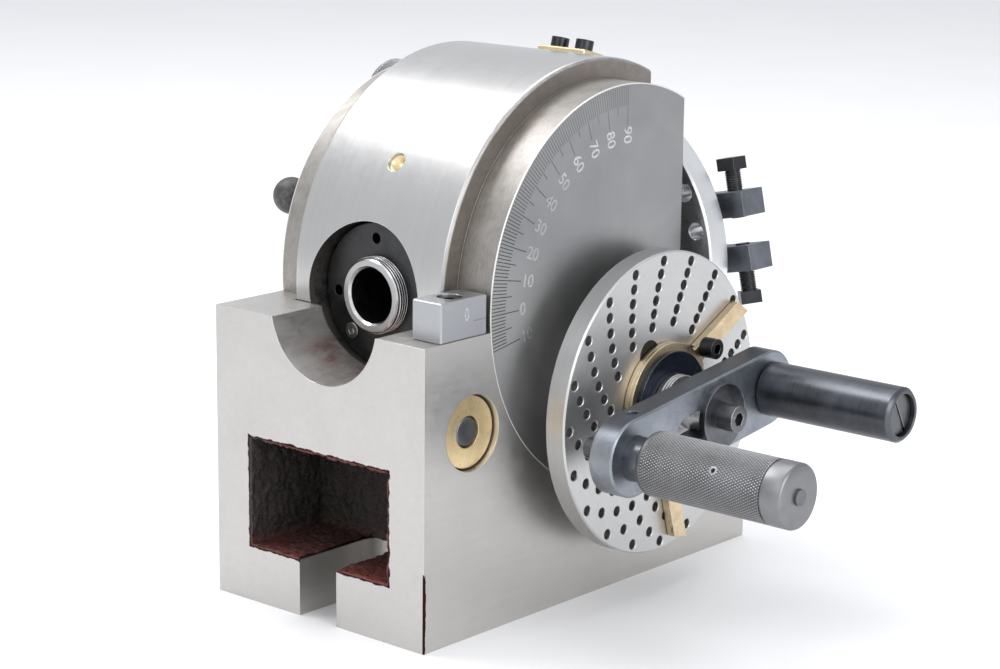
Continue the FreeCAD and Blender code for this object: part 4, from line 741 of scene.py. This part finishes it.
def make_consistent(obj):
    """Point every face outwards."""
    bm = bmesh.new()
    bm.from_mesh(obj.data)
    bmesh.ops.recalc_face_normals(bm, faces=bm.faces)
    bm.to_mesh(obj.data)
    bm.free()


def thread_section(pitch, height):
    """A V thread with a narrow flat crest; its root is a little under the core's surface."""
    return [(0.0, -0.1), (pitch * 0.24, height), (pitch * 0.64, height), (pitch * 0.88, -0.1)]


def around_spindle(radius, degrees, x):
    """The place at a radius and an angle about the spindle's axis."""
    t = math.radians(degrees)
    return Vector((x, SPINDLE_Y + radius * math.cos(t), CENTRE_H + radius * math.sin(t)))


def build_tail_thread():
    pitch, height, length = 1.0, 0.40, 5.2
    helix("tail_thread", "spindle", nodes["spindle"].data.materials[0],
          (THREAD_START_X, SPINDLE_Y, CENTRE_H), (1, 0, 0), length, TAIL_THREAD_R, pitch,
          thread_section(pitch, height), 96)


def build_dog_threads():
    pitch, height = 0.8, 0.30
    middle = around_spindle(DOG_SCREW_R_POS, DRIVER_DEG, FORK_MIDDLE_X)
    out = around_spindle(1, DRIVER_DEG + 90, 0) - around_spindle(0, 0, 0)
    for side, word in ((1, "lower"), (-1, "upper")):
        start = middle + out * (side * (FORK_GAP / 2 + FORK_FINGER + 0.1))
        helix("dog_thread_" + word, "dog_screw_" + word, black_screw, start, out * side,
              DOG_SCREW_SHOWN - 0.4, DOG_SCREW_R, pitch, thread_section(pitch, height), 32)


def build_sleeve_thread():
    pitch, height, length = 1.0, 0.3, 3.0
    helix("sleeve_thread", "head", sleeve_steel.material, (0.0, SLEEVE_THREAD_Y, WORM_Z),
          (0, -1, 0), length, SLEEVE_NOSE_R, pitch, thread_section(pitch, height), 96)


def build_spring():
    wire_r, coil_r, pitch, length = 0.4, 2.6, 1.7, 11.9
    wire = [(wire_r * math.cos(a), wire_r * math.sin(a)) for a in np.linspace(0, 2 * math.pi, 9)[:-1]]
    crank = math.radians(180 + CRANK_DEG)
    at = (PIN_R_POS * math.cos(crank), SPRING_START_Y, WORM_Z + PIN_R_POS * math.sin(crank))
    spring = helix("coil_spring", "crank", spring_steel.material, at, (0, 1, 0), length,
                   coil_r, pitch, wire, 32)
    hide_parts("plunger_spring")


# ---------------------------------------------------------------- hole plate
def drilled_disc(name, body, material, outline, holes):
    """A disc along Y from profiles of (y, radius), front to back: holes are (x, z, profile)."""
    bm = bmesh.new()
    front_edges, back_edges = [], []

    def wall(x, z, profile, segments, inwards):
        rows = []
        for y, r in profile:
            ring = []
            for k in range(segments):
                a = 2 * math.pi * k / segments
                ring.append(bm.verts.new((MM * (x + r * math.cos(a)), MM * y, MM * (z + r * math.sin(a)))))
            rows.append(ring)
        for upper, lower in zip(rows, rows[1:]):
            for k in range(segments):
                j = (k + 1) % segments
                face = (upper[k], upper[j], lower[j], lower[k])
                bm.faces.new(face if inwards else tuple(reversed(face)))
        for ring, store in ((rows[0], front_edges), (rows[-1], back_edges)):
            for k in range(segments):
                store.append(bm.edges.get((ring[k], ring[(k + 1) % segments])))

    wall(0.0, WORM_Z, outline, 192, False)
    for x, z, profile in holes:
        wall(x, z, profile, 32, True)
    for edges in (front_edges, back_edges):
        bmesh.ops.triangle_fill(bm, edges=edges, use_beauty=True)
    bmesh.ops.recalc_face_normals(bm, faces=bm.faces)
    mesh = bpy.data.meshes.new(name)
    bm.to_mesh(mesh)
    bm.free()
    mesh.materials.append(material)
    mesh.polygons.foreach_set("use_smooth", [True] * len(mesh.polygons))
    disc = bpy.data.objects.new(name, mesh)
    bpy.context.scene.collection.objects.link(disc)
    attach(disc, body)
    sharpen(disc, 20)
    return disc


def on_plate(radius, degrees):
    """The (x, z) place at a radius and an angle about the worm's axis."""
    t = math.radians(degrees)
    return radius * math.cos(t), WORM_Z + radius * math.sin(t)


def build_hole_plate():
    front, back, edge, bevel = PLATE_FRONT_Y, PLATE_BACK_Y, 0.5, 0.22
    outline = [(front, PLATE_R - edge), (front + edge, PLATE_R),
               (back - edge, PLATE_R), (back, PLATE_R - edge)]
    bore = SLEEVE_NOSE_R + 0.03
    holes = [(0.0, WORM_Z, [(front, bore + 0.2), (front + 0.2, bore), (back, bore)])]
    small = [(front, PLATE_HOLE_R + bevel), (front + bevel, PLATE_HOLE_R), (back, PLATE_HOLE_R)]
    for count in RINGS:
        radius = RING_0_R + RING_STEP * (count - RINGS[0])
        for k in range(count):
            holes.append((*on_plate(radius, SHARED_HOLE_DEG + 360.0 * k / count), small))
    head_r, shank_r = 5.0, 2.5
    sunk = [(front, head_r), (front + head_r - shank_r, shank_r), (back, shank_r)]
    for degrees in PLATE_SCREWS_DEG:
        holes.append((*on_plate(PLATE_SCREW_PCR, degrees), sunk))
    disc = drilled_disc("drilled_hole_plate", "head", plate_steel.material, outline, holes)
    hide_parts("hole_plate")


# ---------------------------------------------------------------- dial marks
MARK_Y = -BASE_HALF_W - 0.03        # marks stand a hair proud of the dial's face
ZERO_FIGURE_AT = (-75.7, 102.3)     # x and z of the figure on the zero block


def bar(start, end, width, y, thick):
    """Corners and faces of a thin bar between two (x, z) places."""
    run = Vector((end[0] - start[0], end[1] - start[1])).normalized()
    across = Vector((-run.y, run.x)) * (width / 2)
    flat = [(start[0] - across.x, start[1] - across.y), (end[0] - across.x, end[1] - across.y),
            (end[0] + across.x, end[1] + across.y), (start[0] + across.x, start[1] + across.y)]
    corners = [(x, y, z) for x, z in flat] + [(x, y + thick, z) for x, z in flat]
    faces = [(0, 1, 2, 3), (7, 6, 5, 4), (0, 4, 5, 1), (1, 5, 6, 2), (2, 6, 7, 3), (3, 7, 4, 0)]
    return corners, faces


def gather(name, shapes, material, body):
    """One piece out of many (corners, faces) shapes."""
    vertices, faces = [], []
    for corners, polygons in shapes:
        faces += [tuple(len(vertices) + i for i in f) for f in polygons]
        vertices += list(corners)
    piece = new_piece(name, vertices, faces, material, body, smooth=False)
    make_consistent(piece)
    return piece


def figure(text, height, centre, reading, y, width=1.0):
    """A number written in the plane facing the crank side; reading is its (x, z) direction."""
    curve = bpy.data.curves.new("figure", "FONT")
    curve.body = text
    curve.size = height / 0.7
    curve.extrude = 0.02
    curve.offset = 0.05
    curve.align_x = "CENTER"
    curve.align_y = "CENTER"
    curve.resolution_u = 6
    holder = bpy.data.objects.new("figure", curve)
    mesh = bpy.data.meshes.new_from_object(holder)
    run = Vector(reading).normalized()
    rise = Vector((-run.y, run.x))
    corners = []
    for v in mesh.vertices:
        place = Vector(centre) + run * (width * v.co.x) + rise * v.co.y
        corners.append((place.x, y - v.co.z, place.y))
    faces = [tuple(p.vertices) for p in mesh.polygons]
    bpy.data.objects.remove(holder)
    bpy.data.meshes.remove(mesh)
    return corners, faces


def dial_point(radius, reading):
    """The (x, z) place of a dial reading, in degrees of tilt, at a radius about the tilt axis."""
    t = math.radians(180.0 - reading)
    return radius * math.cos(t), CENTRE_H + radius * math.sin(t)


def build_dial():
    outer = TRUNNION_R - 0.6
    tick_width, tick_depth = 0.28, 0.06
    ticks = []
    for reading in range(-10, 91):
        length = 12.5 if reading % 10 == 0 else 9.0 if reading % 5 == 0 else 6.3
        ends = dial_point(outer, reading), dial_point(outer - length, reading)
        ticks.append(bar(*ends, tick_width, MARK_Y, tick_depth))
    gather("dial_ticks", ticks, ENGRAVED, "head")
    figures = []
    for reading in range(-10, 91, 10):
        text = str(abs(reading))
        middle = outer - 12.9 - (2.9 if len(text) == 2 else 1.5)
        inner, centre = dial_point(0.0, reading), dial_point(middle, reading)
        run = (inner[0] - centre[0], inner[1] - centre[1])
        figures.append(figure(text, 3.9, centre, run, MARK_Y))
    gather("dial_figures", figures, STAMPED, "head")
    zero = figure("0", 4.0, ZERO_FIGURE_AT, (1.0, 0.0), MARK_Y, 0.75)
    gather("zero_figure", [zero], STAMPED, "base")


# ---------------------------------------------------------------- rough bolt pocket
def pocket_roughness(place):
    """How far the as-cast skin stands in from the pocket's machined outline, in millimetres."""
    big = noise.noise(place * 0.16)
    lumps = noise.noise(place * 0.55 + Vector((7, 3, 1)))
    grit = noise.noise(place * 1.7 + Vector((2, 9, 4)))
    return max(0.04, 0.65 + 0.45 * big + 0.65 * lumps + 0.30 * grit)


def pocket_outline(step):
    """Points (y, z, inward y, inward z) round the pocket's section, with its rounded corners."""
    corner = POCKET_CORNER_R
    low, high, half = FOOT_TOP_Z, POCKET_TOP_Z, POCKET_HALF_W
    centres = [(half - corner, low + corner, -90), (half - corner, high - corner, 0),
               (corner - half, high - corner, 90), (corner - half, low + corner, 180)]
    points = []
    for i, (cy, cz, first) in enumerate(centres):
        for t in np.linspace(first, first + 90, 8):
            a = math.radians(t)
            points.append((cy + corner * math.cos(a), cz + corner * math.sin(a),
                           -math.cos(a), -math.sin(a)))
        ny, nz, nfirst = centres[(i + 1) % 4]
        a = math.radians(first + 90)
        end = (cy + corner * math.cos(a), cz + corner * math.sin(a))
        b = math.radians(nfirst)
        far = (ny + corner * math.cos(b), nz + corner * math.sin(b))
        count = max(2, int(math.dist(end, far) / step))
        for k in range(1, count):
            f = k / count
            points.append((end[0] + (far[0] - end[0]) * f, end[1] + (far[1] - end[1]) * f,
                           -math.cos(a), -math.sin(a)))
    return points


def in_slot(x, y, margin):
    """Whether a place on the pocket's floor is over the bolt slot, which has to stay open."""
    if abs(y) > SLOT_HALF_W + margin:
        return False
    return x < SLOT_ROUND_X or math.hypot(x - SLOT_ROUND_X, y) < SLOT_HALF_W + margin


def build_pocket():
    """The rough skin just inside the pocket's machined walls, with its own back wall."""
    step = 0.65
    outline = pocket_outline(step)
    depths = [BASE_REAR_X + 0.03, BASE_REAR_X + 0.25] + spread(BASE_REAR_X + 0.7, POCKET_X - 0.6, step)
    vertices, faces = [], []
    n = len(outline)
    for row, x in enumerate(depths):
        for y, z, iy, iz in outline:
            inward = pocket_roughness(Vector((x, y, z)))
            if row == 0:
                inward *= 0.1
            from_back = min(1.0, abs(x - POCKET_X) / 2.0)
            inward += (1.0 - from_back) * 0.8
            vertices.append((x, y + iy * inward, z + iz * inward))
    for row in range(len(depths) - 1):
        for k in range(n):
            j = (k + 1) % n
            quad = (row * n + k, row * n + j, (row + 1) * n + j, (row + 1) * n + k)
            middle = np.mean([vertices[i] for i in quad], axis=0)
            ragged = 0.25 * noise.noise(Vector((middle[0] * 0.8, middle[1] * 0.8, 0.0)))
            if middle[2] < FOOT_TOP_Z + 2.5 and in_slot(middle[0], middle[1], 0.5 + ragged):
                continue
            faces.append(quad)
    first = len(vertices)
    across = spread(-POCKET_HALF_W + 0.1, POCKET_HALF_W - 0.1, step)
    upward = spread(FOOT_TOP_Z + 0.1, POCKET_TOP_Z - 0.1, step)
    for z in upward:
        for y in across:
            vertices.append((POCKET_X - 0.35 - pocket_roughness(Vector((POCKET_X, y, z))), y, z))
    m = len(across)
    for r in range(len(upward) - 1):
        for c in range(m - 1):
            at = first + r * m + c
            faces.append((at, at + 1, at + m + 1, at + m))
    new_piece("pocket_skin", vertices, faces, rough_casting(), "base")


ENGRAVED = engraved()
STAMPED = stamped()
build_plunger_knob()
build_direct_knob()
build_tail_thread()
build_dog_threads()
build_sleeve_thread()
build_spring()
build_hole_plate()
build_dial()
build_pocket()


# ---------------------------------------------------------------- studio
FOCAL_PX, FRAME_PX = 2538.9, 1000.0
SENSOR_MM = 36.0
CAMERA_AT = Vector((-0.6286, -0.5376, 0.2679))
CAMERA_AZ, CAMERA_EL, CAMERA_ROLL = (math.radians(v) for v in (-49.07, 13.03, 0.64))


def make_camera():
    data = bpy.data.cameras.new("camera")
    data.sensor_width = SENSOR_MM
    data.lens = SENSOR_MM * FOCAL_PX / FRAME_PX
    data.clip_start = 0.01
    camera = bpy.data.objects.new("camera", data)
    bpy.context.scene.collection.objects.link(camera)
    back = Vector((math.sin(CAMERA_AZ) * math.cos(CAMERA_EL), -math.cos(CAMERA_AZ) * math.cos(CAMERA_EL),
                   math.sin(CAMERA_EL)))
    right = (-back).cross(Vector((0, 0, 1))).normalized()
    up = right.cross(-back)
    level = right * math.cos(CAMERA_ROLL) + up * math.sin(CAMERA_ROLL)
    rise = up * math.cos(CAMERA_ROLL) - right * math.sin(CAMERA_ROLL)
    camera.matrix_world = Matrix.Translation(CAMERA_AT) @ Matrix((level, rise, back)).transposed().to_4x4()
    bpy.context.scene.camera = camera


def area_light(name, place, target, size, watts):
    data = bpy.data.lights.new(name, "AREA")
    data.shape = "RECTANGLE"
    data.size, data.size_y = size
    data.energy = watts
    light = bpy.data.objects.new(name, data)
    light.location = place
    light.rotation_euler = (Vector(target) - Vector(place)).to_track_quat("-Z", "Y").to_euler()
    bpy.context.scene.collection.objects.link(light)


def make_floor():
    mesh = bpy.data.meshes.new("floor")
    half = 3.0
    corners = [(-half, -half, 0), (half, -half, 0), (half, half, 0), (-half, half, 0)]
    mesh.from_pydata(corners, [], [(0, 1, 2, 3)])
    floor = bpy.data.objects.new("floor", mesh)
    bpy.context.scene.collection.objects.link(floor)
    s = Surface("floor", (0.86, 0.86, 0.86), 0.0, 0.55)
    s.colour(s.mix(s.noise((1, 1, 1), 0.01, 2.0, 0.5), (0.84, 0.84, 0.84), (0.88, 0.88, 0.88)))
    floor.data.materials.append(s.material)


def make_world():
    world = bpy.data.worlds.new("studio")
    bpy.context.scene.world = world
    world.use_nodes = True
    background = world.node_tree.nodes["Background"]
    background.inputs["Color"].default_value = (0.93, 0.95, 1.0, 1.0)
    background.inputs["Strength"].default_value = 0.82


make_camera()
make_floor()
make_world()
area_light("back", (-0.25, 0.80, 1.35), (0, 0, 0.1), (0.9, 0.30), 9)
area_light("left", (-1.3, -0.1, 0.9), (0, 0, 0.05), (0.9, 0.9), 4.3)
area_light("fill", (-0.3, -1.5, 0.7), (0, 0, 0.08), (1.1, 0.9), 12)
area_light("top", (0.3, 0.1, 1.6), (0, 0, 0.1), (1.2, 1.2), 9)

bpy.context.scene.view_settings.view_transform = "Standard"
